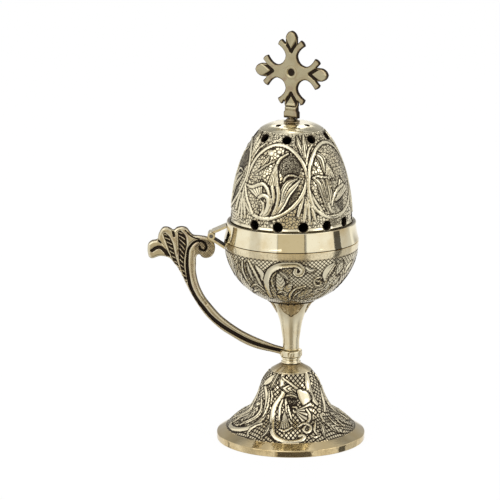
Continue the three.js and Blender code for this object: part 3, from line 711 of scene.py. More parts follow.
BETWEEN_MEDALLIONS = [
    ("blade", 1.25, [(15.4, 34.7), (14.6, 40), (10.6, 44.3), (8.5, 48.5)]),
    ("blade", 1.12, [(16.6, 33.4), (17.7, 39.9), (18.6, 45), (20.6, 49.7)]),
    ("ridge", 0.5, [(17.5, 33), (19.6, 37), (24.1, 41), (32.9, 44.2)]),
    ("ridge", 0.9, [(6.2, 8.6), (8.8, 13.5), (11.4, 17.2), (15.3, 22)]),
    ("ridge", 0.85, [(11.6, 5.2), (13.1, 10.2), (14.5, 14.9), (15.8, 21)]),
    ("ridge", 0.95, [(22.9, 6.4), (20.6, 10.8), (18.3, 14.8), (16.6, 21)]),
    ("ridge", 0.8, [(32.4, 8.4), (28.2, 11.6), (22.6, 15.8), (17.2, 22)]),
    ("ridge", 0.7, [(17.4, 4.6), (16.9, 9.6), (16.4, 14.5), (16.2, 20)]),
]
print("strokes on the lid:", len(SCROLL_MEDALLION), len(LEAF_MEDALLION), len(BETWEEN_MEDALLIONS))

# %% [markdown]
# The bowl has one broad scroll with leaves on both sides, drawn last so that it lies on top. Half
# a turn is drawn, and repeats.

# %% Drawing for the bowl
BOWL_SCROLLS = [
    ("ridge", 0.36, [(-51.4, 4.9), (-52.3, 10.9), (-51.2, 19.9)]),
    ("ridge", 0.36, [(-43.9, 5.1), (-45.3, 11.7), (-42.4, 19.5)]),
    ("ridge", 0.9, [(-39.6, 4.6), (-34.5, 11.7), (-31.6, 20.4)]),
    ("ridge", 0.78, [(-47.2, 5.9), (-50, 12.2), (-48.4, 22.6)]),
    ("ridge", 0.67, [(-59.1, 7.5), (-63.7, 15), (-72.6, 23.4)]),
    ("ridge", 0.62, [(-48.6, 22), (-38.9, 19.1), (-32.7, 21.8), (-30, 25.9)]),
    ("ridge", 0.56, [(-57.5, 27.7), (-40.9, 23.6), (-37.3, 27.5)]),
    ("plain", 1.5, [(-32, 7.3), (-27.7, 11.2), (-27.9, 16.2)]),
    ("blade", 1.2, [(-41.5, 6.7), (-40.8, 11.8), (-39.3, 17.3)]),
    ("ridge", 0.34, [(-15.8, 24.7), (-18.5, 18.7), (-18.1, 13.6), (-13.1, 9.4)]),
    ("veined", 2.3, [(-10.7, 24), (-10.3, 17.1), (-11, 10)]),
    ("veined", 1.7, [(-7.3, 25.2), (-4.2, 20.9), (-0.1, 16.2)]),
    ("ridge", 0.56, [(-15.6, 24.3), (-10.8, 22.3), (-6.5, 23.8)]),
    ("ridge", 0.56, [(-16, 25.8), (-14.3, 31), (-5.4, 33.5)]),
    ("blade", 1.2, [(-9.9, 9.5), (-5.3, 11.7), (-2.6, 14.2)]),
    ("blade", 1.3, [(11.7, 6.5), (16.7, 8.8), (21.7, 8.4)]),
    ("ridge", 0.67, [(-1.8, 30.3), (-1.5, 25.5), (3.8, 20.5), (14.1, 18.2)]),
    ("ridge", 0.39, [(2.6, 29.4), (4.4, 25.5), (9.9, 22.4), (17.9, 19.9)]),
    ("ridge", 0.39, [(6.4, 30.1), (19.2, 30), (30.6, 27), (40, 23.8)]),
    ("ridge", 0.67, [(0.8, 31.5), (18.6, 32.7), (41.8, 31.2), (46.9, 25.4), (45.4, 19.5)]),
    ("veined", 1.9, [(9.2, 27.4), (16.4, 23.4), (24.8, 21.3)]),
    ("ridge", 0.56, [(24.6, 15.3), (29.5, 16.3), (30.6, 18.6), (26.3, 18.7), (22.8, 16.3),
        (23.2, 14), (28, 13.3), (34.6, 15.4), (36.4, 20.6), (25.2, 22.3)]),
    ("plain", 3.2, [(34.7, 14.8), (35, 10.6), (39.8, 6.8)]),
    ("ridge", 0.39, [(36, 14.4), (38.2, 10.8), (41.8, 7.1)]),
    ("veined", 2.2, [(48, 12.9), (48.8, 9.8), (50.4, 6.4)]),
    ("veined", 1.9, [(49.9, 20.9), (51.3, 17.8), (53.4, 14.9)]),
    ("plain", 1.8, [(60.4, 13.6), (62.5, 10.5), (68.1, 8.1)]),
    ("blade", 1.3, [(71, 28), (68.5, 22.5), (69.5, 17)]),
    ("veined", 2.0, [(85, 27), (86, 20.5), (87, 14.5)]),
    ("ridge", 0.5, [(88, 30), (97, 26.5), (101, 21), (99, 15.5)]),
    ("plain", 1.6, [(103.5, 17), (106, 12), (104, 7)]),
    ("ridge", 1.1, [(78, 31), (75, 23), (76.5, 15), (83, 9), (92, 7.5), (97, 11), (94.5, 14),
        (91.5, 12)]),
    ("ridge", 1.51, [(-28.4, 29.3), (-25.8, 19.8), (-23.9, 14.7), (-18.5, 9), (-10.1, 6),
        (-0.8, 5.3), (5.4, 5.6), (9.6, 7.9), (9, 10.3), (5.6, 11), (3.2, 9.8), (3.8, 8.2)]),
]
print("strokes on the bowl:", len(BOWL_SCROLLS))

# %% [markdown]
# The foot's leaves climb from the rim to the shoulder and are cut bolder than the bowl's, because
# they are seen from above. Half a turn again.

# %% Drawing for the foot
FOOT_SCROLLS = [
    ("field", 2.6, [(4.4, 20.2), (3.3, 23.8), (1.8, 26.8)]),
    ("ridge", 0.48, [(-80, 20), (-75.9, 16), (-78.2, 11.1), (-80, 6.1)]),
    ("ridge", 0.55, [(-54, 22.3), (-48.2, 17.8), (-49.6, 13.3), (-55.5, 8.1), (-68.3, 3.8)]),
    ("ridge", 0.48, [(-62.7, 21.9), (-58.4, 18.1), (-62.9, 13.7), (-69.8, 8.7)]),
    ("ridge", 1.37, [(-59.6, 29.5), (-47.6, 24.8), (-41.6, 18.8), (-40.6, 12.5), (-43.2, 7.9),
        (-50.1, 4.8), (-59.3, 2.7), (-69.9, 1.7), (-80, 1.9), (-80, 2.9), (-80, 5.7)]),
    ("ridge", 0.68, [(-59.7, 22.8), (-51.5, 18.1), (-53, 13.8), (-56.6, 9.9), (-61.9, 5.4)]),
    ("ridge", 0.68, [(-63.6, 20.4), (-65.8, 16.3), (-71.3, 12), (-75.5, 8.3), (-78.2, 4.5)]),
    ("veined", 1.71, [(-60.4, 17.9), (-62.9, 13), (-68.2, 7)]),
    ("plain", 2, [(-44.2, 36.2), (-55.1, 32.8), (-65.6, 30.2)]),
    ("ridge", 0.48, [(-42, 29.2), (-35.9, 25.9), (-35.6, 21.8)]),
    ("ridge", 0.48, [(-44.8, 28), (-40.7, 23.6), (-39.3, 19.5), (-41.2, 13.8)]),
    ("ridge", 1.78, [(-23.8, 36.6), (-17.5, 31.6), (-14.1, 27.6)]),
    ("ridge", 1.3, [(-21.6, 37), (-19.2, 33.1), (-14, 28.1), (-19.1, 25), (-25.9, 21.7),
        (-27.7, 18.6), (-25.7, 14.3), (-21.1, 8.5), (-17.2, 4.4), (-11.4, 2.1), (-2, 0.4),
        (7.8, 1.1), (12.9, 3), (11.4, 4.2), (7.9, 3.9)]),
    ("ridge", 0.62, [(-14.4, 24.5), (-17.4, 20.5), (-15.8, 14.2)]),
    ("ridge", 0.68, [(-9, 24.7), (-6.3, 19.7), (-3.3, 15), (1.4, 11.9)]),
    ("ridge", 0.48, [(-4.4, 21.7), (-1.9, 18.2), (1.5, 14.5)]),
    ("fan", 3.08, [(-9.2, 18.1), (-6.2, 7.5)]),
    ("ridge", 0.62, [(-12.2, 7.7), (-6.6, 6.9), (1.3, 9.2)]),
    ("veined", 2.17, [(-13.7, 30.2), (0.1, 30), (14.2, 29.4)]),
    ("blade", 1.37, [(-7.4, 26.6), (1.8, 26.9), (12.9, 25.6)]),
    ("ridge", 0.62, [(-18.9, 35.6), (0.3, 32.6), (15.9, 29.6), (33.8, 28.3)]),
    ("blade", 1.03, [(-36.6, 37.5), (-38.7, 32.5), (-42.4, 28.5)]),
    ("ridge", 1.57, [(45.9, 37.1), (37.9, 31.5), (38.2, 27.4), (42.6, 23.6), (47.5, 21.2)]),
    ("plain", 3.5, [(17.3, 28.2), (26.5, 24.8), (25.7, 20.5)]),
    ("ridge", 0.55, [(2.1, 20.9), (8.6, 20.7), (9.9, 19.2), (5.7, 18.3), (4, 19.5)]),
    ("fan", 7.07, [(9.1, 18.7), (26, 16.4)]),
    ("ridge", 0.68, [(25, 19.4), (28.1, 16.5), (24.3, 13.3), (14.6, 10.9)]),
    ("ridge", 0.75, [(9, 9.8), (15, 11.6), (21.2, 10.6), (22.5, 7.9), (17, 5.7), (13.3, 7.4),
        (16.6, 9.5)]),
    ("ridge", 1.23, [(80, 36.3), (80, 31.7), (75.3, 26.7), (68.4, 20.7), (58.1, 16.3)]),
    ("blade", 1.25, [(80, 34.5), (80, 28.2), (80, 21), (80, 16)]),
    ("ridge", 0.82, [(46.4, 15.3), (44.3, 11.2), (47.5, 5.8), (54.4, 2)]),
    ("ridge", 0.55, [(56.1, 12.3), (55, 8.8), (56.7, 5.7)]),
    ("ridge", 0.55, [(67.3, 11.8), (63.7, 7.8), (64.7, 4.4)]),
    ("ridge", 0.55, [(69.6, 14.1), (73.1, 9.7), (79.8, 2.5)]),
    ("ridge", 0.55, [(44.5, 8.5), (45.6, 5.1), (50, 2.9)]),
    ("veined", 1.82, [(45.1, 9.1), (51.3, 5.2), (57.8, 1.4)]),
    ("veined", 1.82, [(69.1, 14), (71.6, 8.2), (79.3, 2.5)]),
    ("blade", 1.25, [(37, 9.2), (35, 5.6), (33.2, 2.6)]),
    ("ridge", 0.68, [(-41.9, 0.8), (-44.6, 3.7), (-41.9, 7.1), (-35.2, 10)]),
    ("blade", 1.14, [(-27.4, 2.3), (-24.2, 6.4), (-25.7, 10.9)]),
    ("ridge", 0.55, [(32.3, 12.1), (25.6, 7), (26.2, 3.4)]),
    ("ridge", 0.55, [(19.2, 3.8), (23.5, 2.4), (28.3, 3.2)]),
    ("veined", 1.71, [(91, 21), (93.5, 14.5), (92, 8)]),
    ("ridge", 0.74, [(97.5, 27), (99.5, 18), (97, 9.5), (90, 4.5)]),
    ("ridge", 0.57, [(87.5, 27), (87, 18), (84, 10), (85.5, 5)]),
]
print("strokes on the foot:", len(FOOT_SCROLLS))

# %% [markdown]
# ## The lid's dome
# A tall half-ellipse, 1.8 mm thick, with a plain cap set off by a fine seam. Two designs of
# medallion take turns round it, each in a pear-shaped border, with loose leaves between. Fifteen
# places for round holes run along the lower edge, nine more above, four in the cap. A Boolean
# would cut the holes too, but leave long thin faces across the relief. Here they are cut in the
# grid itself, and the relief fades out round them.

# %% Dome: profile
BAND_TOP, DOME_RADIUS, DOME_RISE = 112.437, 30.3, 54.5
INNER_RADIUS, INNER_RISE = 28.5, 52.7
CAP_EDGE, CAP_TOP, CAP_UNDER = (15.4, 159.37), 162.073, 159.673
SKIRT_BOTTOM, STUD_BORE = 110.037, 1.8
DOME_COLUMNS = 480

wall = ellipse(DOME_RADIUS, DOME_RISE, BAND_TOP, DOME_RADIUS, CAP_EDGE[0], 1)
wall = evenly(wall, 0.455)
wall_length = travelled(wall)[-1]
t = np.linspace(0, 1, 12)[1:, None]
cap = ((1 - t) ** 2 * CAP_EDGE + 2 * t * (1 - t) * np.array([11.9, 161.61])
       + t * t * np.array([8.4, CAP_TOP]))
cap_flat = np.column_stack([np.array([7.2, 6, 4.6, 3.2, 2.4, STUD_BORE + 0.15, STUD_BORE]),
                            np.array([CAP_TOP] * 6 + [CAP_TOP - 0.15])])
skirt = np.column_stack([np.full(4, DOME_RADIUS), np.linspace(SKIRT_BOTTOM, BAND_TOP, 5)[:4]])
dome_outside = np.vstack([skirt, wall, cap, cap_flat])
dome_length = travelled(dome_outside) - (BAND_TOP - SKIRT_BOTTOM)
dome_angles = even_angles(DOME_COLUMNS)
print("dome: wall", round(wall_length, 2), "mm long,", len(dome_outside), "rows")

# %% [markdown]
# A medallion's border is an ellipse, longer below its middle than above, whose lower half leans
# over, which makes it a pear. It is laid last, over the ends of the leaves. Towards the cap the
# ground between the leaves is punched finer.

# %% Dome: relief
BORDER_AT, BORDER_UP, BORDER_DOWN, BORDER_TURN = 26.5, 17.2, 20, 35
medallion_turns = [(-18, SCROLL_MEDALLION), (54, LEAF_MEDALLION), (126, SCROLL_MEDALLION),
                   (198, LEAF_MEDALLION), (270, SCROLL_MEDALLION)]
dome_relief = Engraving(dome_angles, dome_length, dome_outside[:, 0], 360)
turn = np.linspace(0, tau, 160)
border_length = BORDER_AT + np.where(np.cos(turn) > 0, BORDER_UP, BORDER_DOWN) * np.cos(turn)
for middle, design in medallion_turns:
    dome_relief.work(BETWEEN_MEDALLIONS, middle + 18)
    dome_relief.work(design, middle + 18 if design is SCROLL_MEDALLION else middle - 54)
    lean = 0.45 * np.minimum(0, border_length - 27)
    border = np.column_stack([middle + lean + BORDER_TURN * np.sin(turn), border_length])
    dome_relief.stroke("border", 0.78, border)
above = np.broadcast_to(0.45 * smooth(43, 46, dome_length)[:, None], dome_relief.fine.shape)
dome_relief.fine = np.maximum(dome_relief.fine, above)
print("dome: relief", dome_relief.height.min().round(2), "to",
      dome_relief.height.max().round(2), "mm")

# %% [markdown]
# `holes` lists each hole by its angle, its place along the profile, its radius, and how steeply
# its drill points inwards: level in the lowest ring, square to the wall in the next, and straight
# down in the cap. Beside the hinge one place is left whole.

# %% Dome: places of the holes
def along_dome(radius):
    """Length along the profile at which it has this radius, above the band."""
    rows = dome_length >= 0
    return np.interp(-radius, -dome_outside[rows, 0], dome_length[rows])


def radius_at(rise):
    """Radius of the half-ellipse at a height above the band: DOME_RADIUS times the root of
    1 - (rise / DOME_RISE)^2."""
    return DOME_RADIUS * sqrt(1 - (rise / DOME_RISE) ** 2)


def square_tilt(radius):
    """Slope of a drill that stands square to the wall. The ellipse's normal is
    (radius / DOME_RADIUS^2, rise / DOME_RISE^2)."""
    rise = DOME_RISE * sqrt(1 - (radius / DOME_RADIUS) ** 2)
    return atan2(rise / DOME_RISE ** 2, radius / DOME_RADIUS ** 2)


BESIDE_HINGE = 13
holes = [(-12.8 + 24 * k, along_dome(radius_at(2.7)), 2.4, 0.0)
         for k in range(15) if k != BESIDE_HINGE]
holes += [(-7.5 + 40 * k, along_dome(18), 2.15, square_tilt(18)) for k in range(9)]
holes += [(49 + 90 * k, along_dome(10.0), 1.3, pi / 2) for k in range(4)]
print("holes:", len(holes))

# %% [markdown]
# A quad goes when its middle lies inside a hole. The points that touch both a cut quad and a
# whole one are the hole's rim: they move onto the circle, and `drills` keeps the way in which
# they will be carried inwards. `fade` takes the relief away at the holes and at both ends.

# %% Dome: cutting the holes
fade = smooth(0.3, 1.0, dome_length)
fade = fade * (1 - smooth(wall_length - 1.4, wall_length - 0.6, dome_length))
fade = fade[:, None] + np.zeros(DOME_COLUMNS)
sooty_rims = np.zeros_like(fade)
dome_cut = np.zeros((len(dome_length) - 1, DOME_COLUMNS), bool)
dome_turn = dome_angles[None, :] + np.zeros((len(dome_length), 1))
dome_reach = dome_length[:, None] + np.zeros(DOME_COLUMNS)
drills = np.zeros((len(dome_length), DOME_COLUMNS, 3))
on_rim = np.zeros(dome_turn.shape, bool)
for angle, length, radius, tilt in holes:
    off_turn = (dome_angles[None, :] - angle + 180) % 360 - 180
    x = np.radians(off_turn) * dome_outside[:, :1]
    y = dome_length[:, None] - length
    off = np.hypot(x, y) + (np.abs(off_turn) > 90) * 99
    fade *= smooth(radius + 0.1, radius + 0.8, off)
    sooty_rims = np.maximum(sooty_rims, 1 - smooth(radius, radius + 0.45, off))
    middle = (off[:-1] + off[1:]) / 2
    middle = (middle + np.roll(middle, -1, axis=1)) / 2
    inside = middle < radius
    dome_cut |= inside
    touched = np.zeros_like(on_rim)
    whole = np.zeros_like(on_rim)
    for rows in (slice(0, -1), slice(1, None)):
        for shift in (0, 1):
            touched[rows] |= np.roll(inside, shift, axis=1)
            whole[rows] |= np.roll(~inside, shift, axis=1)
    rim = touched & whole
    on_rim |= rim
    share = np.where(rim, radius / np.maximum(off, 0.1), 1.0)
    dome_reach = np.where(rim, length + (y + 0 * x) * share, dome_reach)
    new_radius = np.interp(dome_reach, dome_length, dome_outside[:, 0])
    moved = angle + np.degrees(x * share / new_radius)
    dome_turn = np.where(rim, moved, dome_turn)
    way = -np.array([cos(tilt) * cos(radians(angle - 90)), cos(tilt) * sin(radians(angle - 90)),
                     sin(tilt)])
    drills[rim] = way
print("quads cut:", int(dome_cut.sum()), " points on rims:", int(on_rim.sum()))

# %% [markdown]
# Patina lies in the hollows, in the seam below the cap, in the grooves round the strokes and on
# the rims of the holes. The cap itself is kept bright. At the foot of the wall a raised lip, half
# a millimetre high, catches the light just above the band.

# %% Dome: patina and lip
dome_height = dome_relief.height * fade
dome_metal = np.where(dome_length[:, None] > wall_length - 0.9, 1.0, dome_relief.metal)
dome_metal[dome_length < 1.9] = 1.0
seam = tent(dome_length, wall_length, 0.45)[:, None]
dome_hollow = np.maximum.reduce([hollows(dome_height), 0.45 * seam + 0 * dome_height,
                                 0.6 * dome_relief.outline * fade])
dome_hollow = dome_hollow - 0.24 * (1 - smooth(5, 22, dome_length))[:, None]
dome_hollow = np.where(dome_length[:, None] > wall_length + 0.6, 0, dome_hollow)
dome_hollow = np.maximum(dome_hollow, sooty_rims)
lip = np.where(dome_length < -0.01, 0, 1.1 * (1 - smooth(-0.5, 2.2, dome_length)))[:, None]
dome_height = dome_height - 0.12 * seam + lip * fade
print("patina covers", round(100 * float((dome_hollow > 0.5).mean())), "% of the dome's points")

# %% [markdown]
# The outer wall moves out by the relief along the normal of its profile. A Displace modifier
# works the same way, but from a texture, and this relief is already an array.

# %% Dome: outer wall
def profile_normals(profile):
    """The tangent (dr, dz) turned to the right, (dz, -dr), which looks away from the axis."""
    tangent = np.gradient(profile, axis=0)
    tangent /= np.hypot(*tangent.T)[:, None]
    return np.column_stack([tangent[:, 1], -tangent[:, 0]])


def raised(profile, at, height, turn):
    """Points of a turned wall at places `at` along its profile, moved out by `height`."""
    length = travelled(profile)
    normal = profile_normals(profile)
    radius = np.interp(at, length, profile[:, 0]) + np.interp(at, length, normal[:, 0]) * height
    level = np.interp(at, length, profile[:, 1]) + np.interp(at, length, normal[:, 1]) * height
    return carried_round(radius, level, turn)


dome_outer = raised(dome_outside, dome_reach + BAND_TOP - SKIRT_BOTTOM,
                    np.where(on_rim, 0, dome_height), dome_turn)
print("outer wall:", dome_turn.size, "points")

# %% [markdown]
# The inner wall is a half-ellipse too, with a flat under the cap. It repeats only every eighth
# row, except beside the holes, where both walls need the same edge.

# %% Dome: inner wall
near_hole = ((dome_length < 5.8) | ((dome_length > 43.2) & (dome_length < 49.2))
             | ((dome_outside[:, 0] > 8.0) & (dome_outside[:, 0] < 11.4)))
rows = np.arange(len(dome_length))
inner_rows = rows[near_hole | (rows % 8 == 0) | (rows == rows[-1])]
inner_radius = np.interp(dome_outside[inner_rows, 0], [STUD_BORE, 11, CAP_EDGE[0], DOME_RADIUS],
                         [STUD_BORE, 11, 14.49, INNER_RADIUS])
inner_level = BAND_TOP + INNER_RISE * np.sqrt(
    np.clip(1 - (inner_radius / INNER_RADIUS) ** 2, 0, 1))
inner_level = np.minimum(inner_level, CAP_UNDER)
inner_level = np.where(dome_length[inner_rows] < 0, dome_outside[inner_rows, 1], inner_level)
dome_inner = carried_round(inner_radius[:, None], inner_level[:, None], dome_turn[inner_rows])
print("inner wall:", len(inner_rows), "rows of", len(rows))

# %% [markdown]
# A drill starts at a point p of the rim and runs along d. Once both are divided by the half-axes
# of the inner ellipse, it meets that wall where |p + t d| = 1. This is a quadratic in t, of which
# the smaller root is the near side. In the cap the drill goes straight down to the flat.

# %% Dome: drilling to the inner wall
start, way = dome_outer[inner_rows], drills[inner_rows]
scale = np.array([INNER_RADIUS, INNER_RADIUS, INNER_RISE])
p, d = (start - [0, 0, BAND_TOP]) / scale, way / scale
a, b, c = (d * d).sum(-1), (p * d).sum(-1), (p * p).sum(-1) - 1
reach = (-b - np.sqrt(np.maximum(b * b - a * c, 0))) / np.maximum(a, 1e-9)
to_flat = start[..., 2] - CAP_UNDER
straight_down = way[..., 2] < -0.99
drilled = start + way * np.where(straight_down, to_flat, reach)[..., None]
dome_inner = np.where(on_rim[inner_rows][..., None], drilled, dome_inner)
print("points drilled:", int(on_rim[inner_rows].sum()))

# %% [markdown]
# Now the faces: both walls without the cut quads, the edges that join them at the bore and at the
# bottom, and the tubes of the holes. A tube's face stands wherever a cut quad has a whole
# neighbour. The inner wall takes its rows the other way round, so that its faces look inwards.

# %% Dome: faces
vertex = np.arange(dome_turn.size).reshape(dome_turn.shape)
inner_vertex = vertex.size + np.arange(dome_inner[..., 0].size).reshape(-1, DOME_COLUMNS)


def quads(low_row, high_row):
    """One quad between two rows for each column."""
    return np.stack([low_row, np.roll(low_row, -1, -1),
                     np.roll(high_row, -1, -1), high_row], -1)


outer_quads = quads(vertex[:-1], vertex[1:])
inner_quads = quads(inner_vertex[1:], inner_vertex[:-1])
inner_cut = dome_cut[inner_rows[:-1]] & (np.diff(inner_rows) == 1)[:, None]
inner_of = np.full(len(rows), -1)
inner_of[inner_rows] = np.arange(len(inner_rows))
partner = np.where(inner_of[:, None] >= 0, inner_vertex[inner_of], -1)
tubes = []
QUAD_SIDES = ((0, 1, (0, 1)), (0, -1, (2, 3)), (1, -1, (1, 2)), (1, 1, (3, 0)))
for axis, step, (first, second) in QUAD_SIDES:
    edge = dome_cut & ~np.roll(dome_cut, step, axis)
    corner = outer_quads[edge]
    one, two = corner[:, first], corner[:, second]
    inner_one, inner_two = partner.ravel()[one], partner.ravel()[two]
    tubes.append(np.column_stack([one, two, inner_two, inner_one]))
dome_faces = [outer_quads[~dome_cut], inner_quads[~inner_cut], *tubes,
              quads(vertex[-1], inner_vertex[-1]), quads(inner_vertex[0], vertex[0])]
print("faces of the holes' tubes:", sum(len(side) for side in tubes))

# %% [markdown]
# The attributes tell the shader what each point is: how high its relief, whether it is polished
# metal, how deep in patina, where on a vein and on how fine a ground. The inner wall has none of
# the ornament and is sooty all over.

# %% Dome: piece
dome_points = np.vstack([dome_outer.reshape(-1, 3), dome_inner.reshape(-1, 3)])
inside_zero = np.zeros((len(inner_rows), DOME_COLUMNS))
dome_shown = np.where(dome_length[:, None] > wall_length, 0.4, dome_height)
dome_values = {"relief": np.vstack([dome_shown, inside_zero]),
               "metal": np.vstack([dome_metal, inside_zero]),
               "hollow": np.vstack([dome_hollow, inside_zero + 1.2]),
               "vein": np.vstack([dome_relief.vein * (dome_metal > 0.3), inside_zero]),
               "fine": np.vstack([dome_relief.fine, inside_zero])}
dome_piece = add_piece("dome_engraved", "lid", pebbled_brass,
                       dome_points, dome_faces, dome_values)
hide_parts("lid_dome")

# %% [markdown]
# ## Bowl and foot
# Both repeat their scrolls twice round. The bowl is a half-ellipse with a polished strip under the
# rim. The foot is a bell: an ogee that rises from a plain sloping rim to a plain shoulder. The
# engraved stretch of each profile carries the relief, and the rest of the loop is plain. Both
# share one function, because only their profiles and drawings differ.

# %% Engraved turned pieces
def engraved(name, body, material, replaces, outside, plain, strokes, columns, bright,
             soot_and_painted_shade, seam):
    """A ring whose profile is `outside`, engraved, then `plain`, bare, back to the start. `bright`
    gives the polished share of each engraved row, `soot_and_painted_shade` darkens each bare one
    (soot inside the bowl, a painted reflection on the foot's edge), and a dark seam runs round at
    the length `seam`. Strokes measure along `outside`."""
    angles = even_angles(columns)
    length = travelled(outside)
    relief = Engraving(angles[:columns // 2], length, outside[:, 0], 180)
    relief.work(strokes)
    ground = (1 - bright)[:, None]
    height = np.tile(relief.height * ground, (1, 2))
    metal = np.tile(np.maximum(relief.metal, 1 - ground), (1, 2))
    seam_line = tent(length, seam, 0.5)[:, None]
    outline = np.tile(relief.outline, (1, 2))
    hollow = np.maximum.reduce([hollows(height) * ground, 0.88 * outline * ground,
                                0.9 * seam_line + 0 * height, 0.27 * (1 - ground) + 0 * height])
    outer = raised(outside, length[:, None] + 0 * height, height, angles)
    bare = carried_round(plain[:, :1], plain[:, 1:], angles)
    points = np.vstack([outer.reshape(-1, 3), bare.reshape(-1, 3)])
    count = len(outside) + len(plain)
    zero = np.zeros((len(plain), columns))
    shown = np.where(bright[:, None] > 0.5, 0.4, height)
    vein = np.tile(relief.vein, (1, 2)) * ground
    fine = np.tile(relief.fine, (1, 2)) * ground
    worn = 0.25 * (1 - ground) + 0 * fine
    values = {"relief": np.vstack([shown, zero + 0.4]), "metal": np.vstack([metal, zero + 1]),
              "hollow": np.vstack([hollow, zero + soot_and_painted_shade[:, None]]),
              "vein": np.vstack([vein, zero]), "fine": np.vstack([fine, zero]),
              "worn": np.vstack([worn, zero + 0.55])}
    piece = add_piece(name, body, material, points, [ring_faces(count, columns)], values)
    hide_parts(replaces)


BOWL_RIM, BOWL_RADIUS, BOWL_DEPTH = 102.837, 33.7, 32.8
print("bowl: rim at", BOWL_RIM, "mm, radius", BOWL_RADIUS, "mm")

# %% [markdown]
# The bowl's profile runs down the outside to the calyx, in to the bore, up to the floor and back
# along the inner ellipse to a rounded rim. Smoke darkens the inside. A shallow groove of 0.12 mm
# parts the polished strip from the ornament.

# %% Bowl
bowl_outside = evenly(ellipse(BOWL_RADIUS, BOWL_DEPTH, BOWL_RIM, BOWL_RADIUS, 12.3, -1), 0.42)
bowl_plain = np.vstack([[(11.9, 72.3), (2.8, 72.3), (2.8, 74.9), (12.6, 74.9)],
                        ellipse(31.5, 30.6, BOWL_RIM, 12.85, 31.5, -1, 14)[:-1],
                        [(31.5, 102.6), (31.75, BOWL_RIM), (33.45, BOWL_RIM), (33.62, 102.77)]])
bowl_at = travelled(bowl_outside)
bowl_bright = 1 - smooth(3.7, 4.0, bowl_at)
bowl_outside[:, 0] -= 0.12 * tent(bowl_at, 3.9, 0.5)
engraved("bowl_engraved", "base", bowl_brass, "bowl",
         bowl_outside[1:], bowl_plain, BOWL_SCROLLS, 396, bowl_bright[1:],
         0.9 * ((bowl_plain[:, 0] < 32.0) & (bowl_plain[:, 1] > 74)), 3.6)

# %% [markdown]
# The bell is given by shares of its spread and of its rise, from the rim inwards. The plain part
# goes in at the shoulder, down the hollow underside and up round the turned rim.

# %% Foot
bell_shares = [(1, 0), (0.745, 0.17), (0.487, 0.3), (0.307, 0.534), (0.182, 0.804), (0, 1)]
bell = through([(10.1 + 22.5 * spread, 6.2 + 29.6 * rise) for spread, rise in bell_shares], 60)
bell = evenly(bell, 0.42)
bell_at = travelled(bell)
FOOT_RIM = eased([(5.3, 38.7, 0.3), (2.8, 38.7, 0.2), (2.8, 34.5, 0.2), (8.0, 34.5, 0.2),
                  (8.6, 31.4, 0), (12.0, 22.3, 1.0), (16.6, 14.0, 2.0), (23.5, 9.0, 2.0),
                  (31.9, 4.2, 0.5), (34.3, 1.2, 0.5), (35.3, 0, 0.2), (37.5, 0, 0.3),
                  (37.5, 0.36, 0), (37.5, 2.7, 0), (37.5, 3.2, 0.4), (37.1, 3.46, 0),
                  (33.35, 5.85, 0), (33.1, 6.0, 0)])
foot_bright = smooth(bell_at[-1] - 0.9, bell_at[-1] - 0.6, bell_at)
# The foot's plain part is darkened in two places: its upright edge by 0.30, a painted reflection
# of the shadowed floor close to the foot, and its hollow underside by 0.5.
engraved("foot_engraved", "base", foot_brass, "foot",
         bell, FOOT_RIM, FOOT_SCROLLS, 396, foot_bright,
         np.where(FOOT_RIM[:, 0] > 37.3, 0.30, 0.5 * (FOOT_RIM[:, 0] < 32.4)), 0.2)

# %% [markdown]
# ## Plain turned pieces
# The lid's band flares towards its lower edge and is highly polished. Inside, a thin lip reaches
# just past the bowl's rim, so that no light shows through the gap between the two.

# %% Band
BAND_BOTTOM = 103.137
band_flare = np.linspace(0.04, 0.95, 14)
band_outside = np.column_stack([32.3 + 1.5 * (1 - band_flare) ** 2,
                                BAND_BOTTOM + 9.3 * band_flare])
band_loop = np.vstack([[(33.5, BAND_BOTTOM), (33.72, 103.25)], band_outside,
                       eased([(32.3, BAND_TOP, 0.5), (30.6, BAND_TOP, 0.2), (30.6, 109.737, 0),
                              (28.9, 109.737, 0.2), (28.9, 108.237, 0.2), (30.8, 106.7, 0.3),
                              (30.8, 102.55, 0.1), (31.15, 102.55, 0.1),
                              (31.2, BAND_BOTTOM, 0.1)])])
turned("band_polished", "lid", bright_brass, band_loop, 200, "lid_band",
       soot=band_loop[:, 0] < 31.9)

# %% [markdown]
# A sleeve with two beads sits between foot and handle, and a ferrule with a stud inside carries
# the cross. The stud's thread is only hinted at: every other ring is 0.13 mm thinner.

# %% Collars and stud
turned("foot_collar_turned", "base", bright_brass,
       eased([(2.8, 39.0, 0.2), (4.95, 39.0, 0.35), (4.95, 39.75, 0.2), (4.5, 40.1, 0.2),
              (4.5, 41.0, 0.2), (4.95, 41.35, 0.2), (4.95, 42.1, 0.35), (2.8, 42.1, 0.2)]),
       96, "foot_collar")
turned("cross_collar_turned", "lid", collar_brass,
       eased([(1.8, 162.373, 0.1), (4.1, 162.373, 0.15), (4.1, 162.8, 0.2), (3.1, 163.2, 0.2),
              (2.54, 163.973, 0.15), (1.8, 163.973, 0.1)]), 72, "cross_collar")
thread = np.column_stack([1.5 - 0.13 * (np.arange(24) % 2), np.linspace(155.6, 162.0, 24)])
turned("cross_stud", "lid", collar_brass,
       np.vstack([[(0, 155.073), (1.2, 155.073), (1.5, 155.4)], thread,
                  [(1.5, 162.4), (1.5, 165.3), (0, 165.3)]]), 40)

# %% [markdown]
# The loose cup is spun from sheet steel about a millimetre thick. Its belly follows the bowl's
# wall with a running gap, and its edge is rolled to a bead.

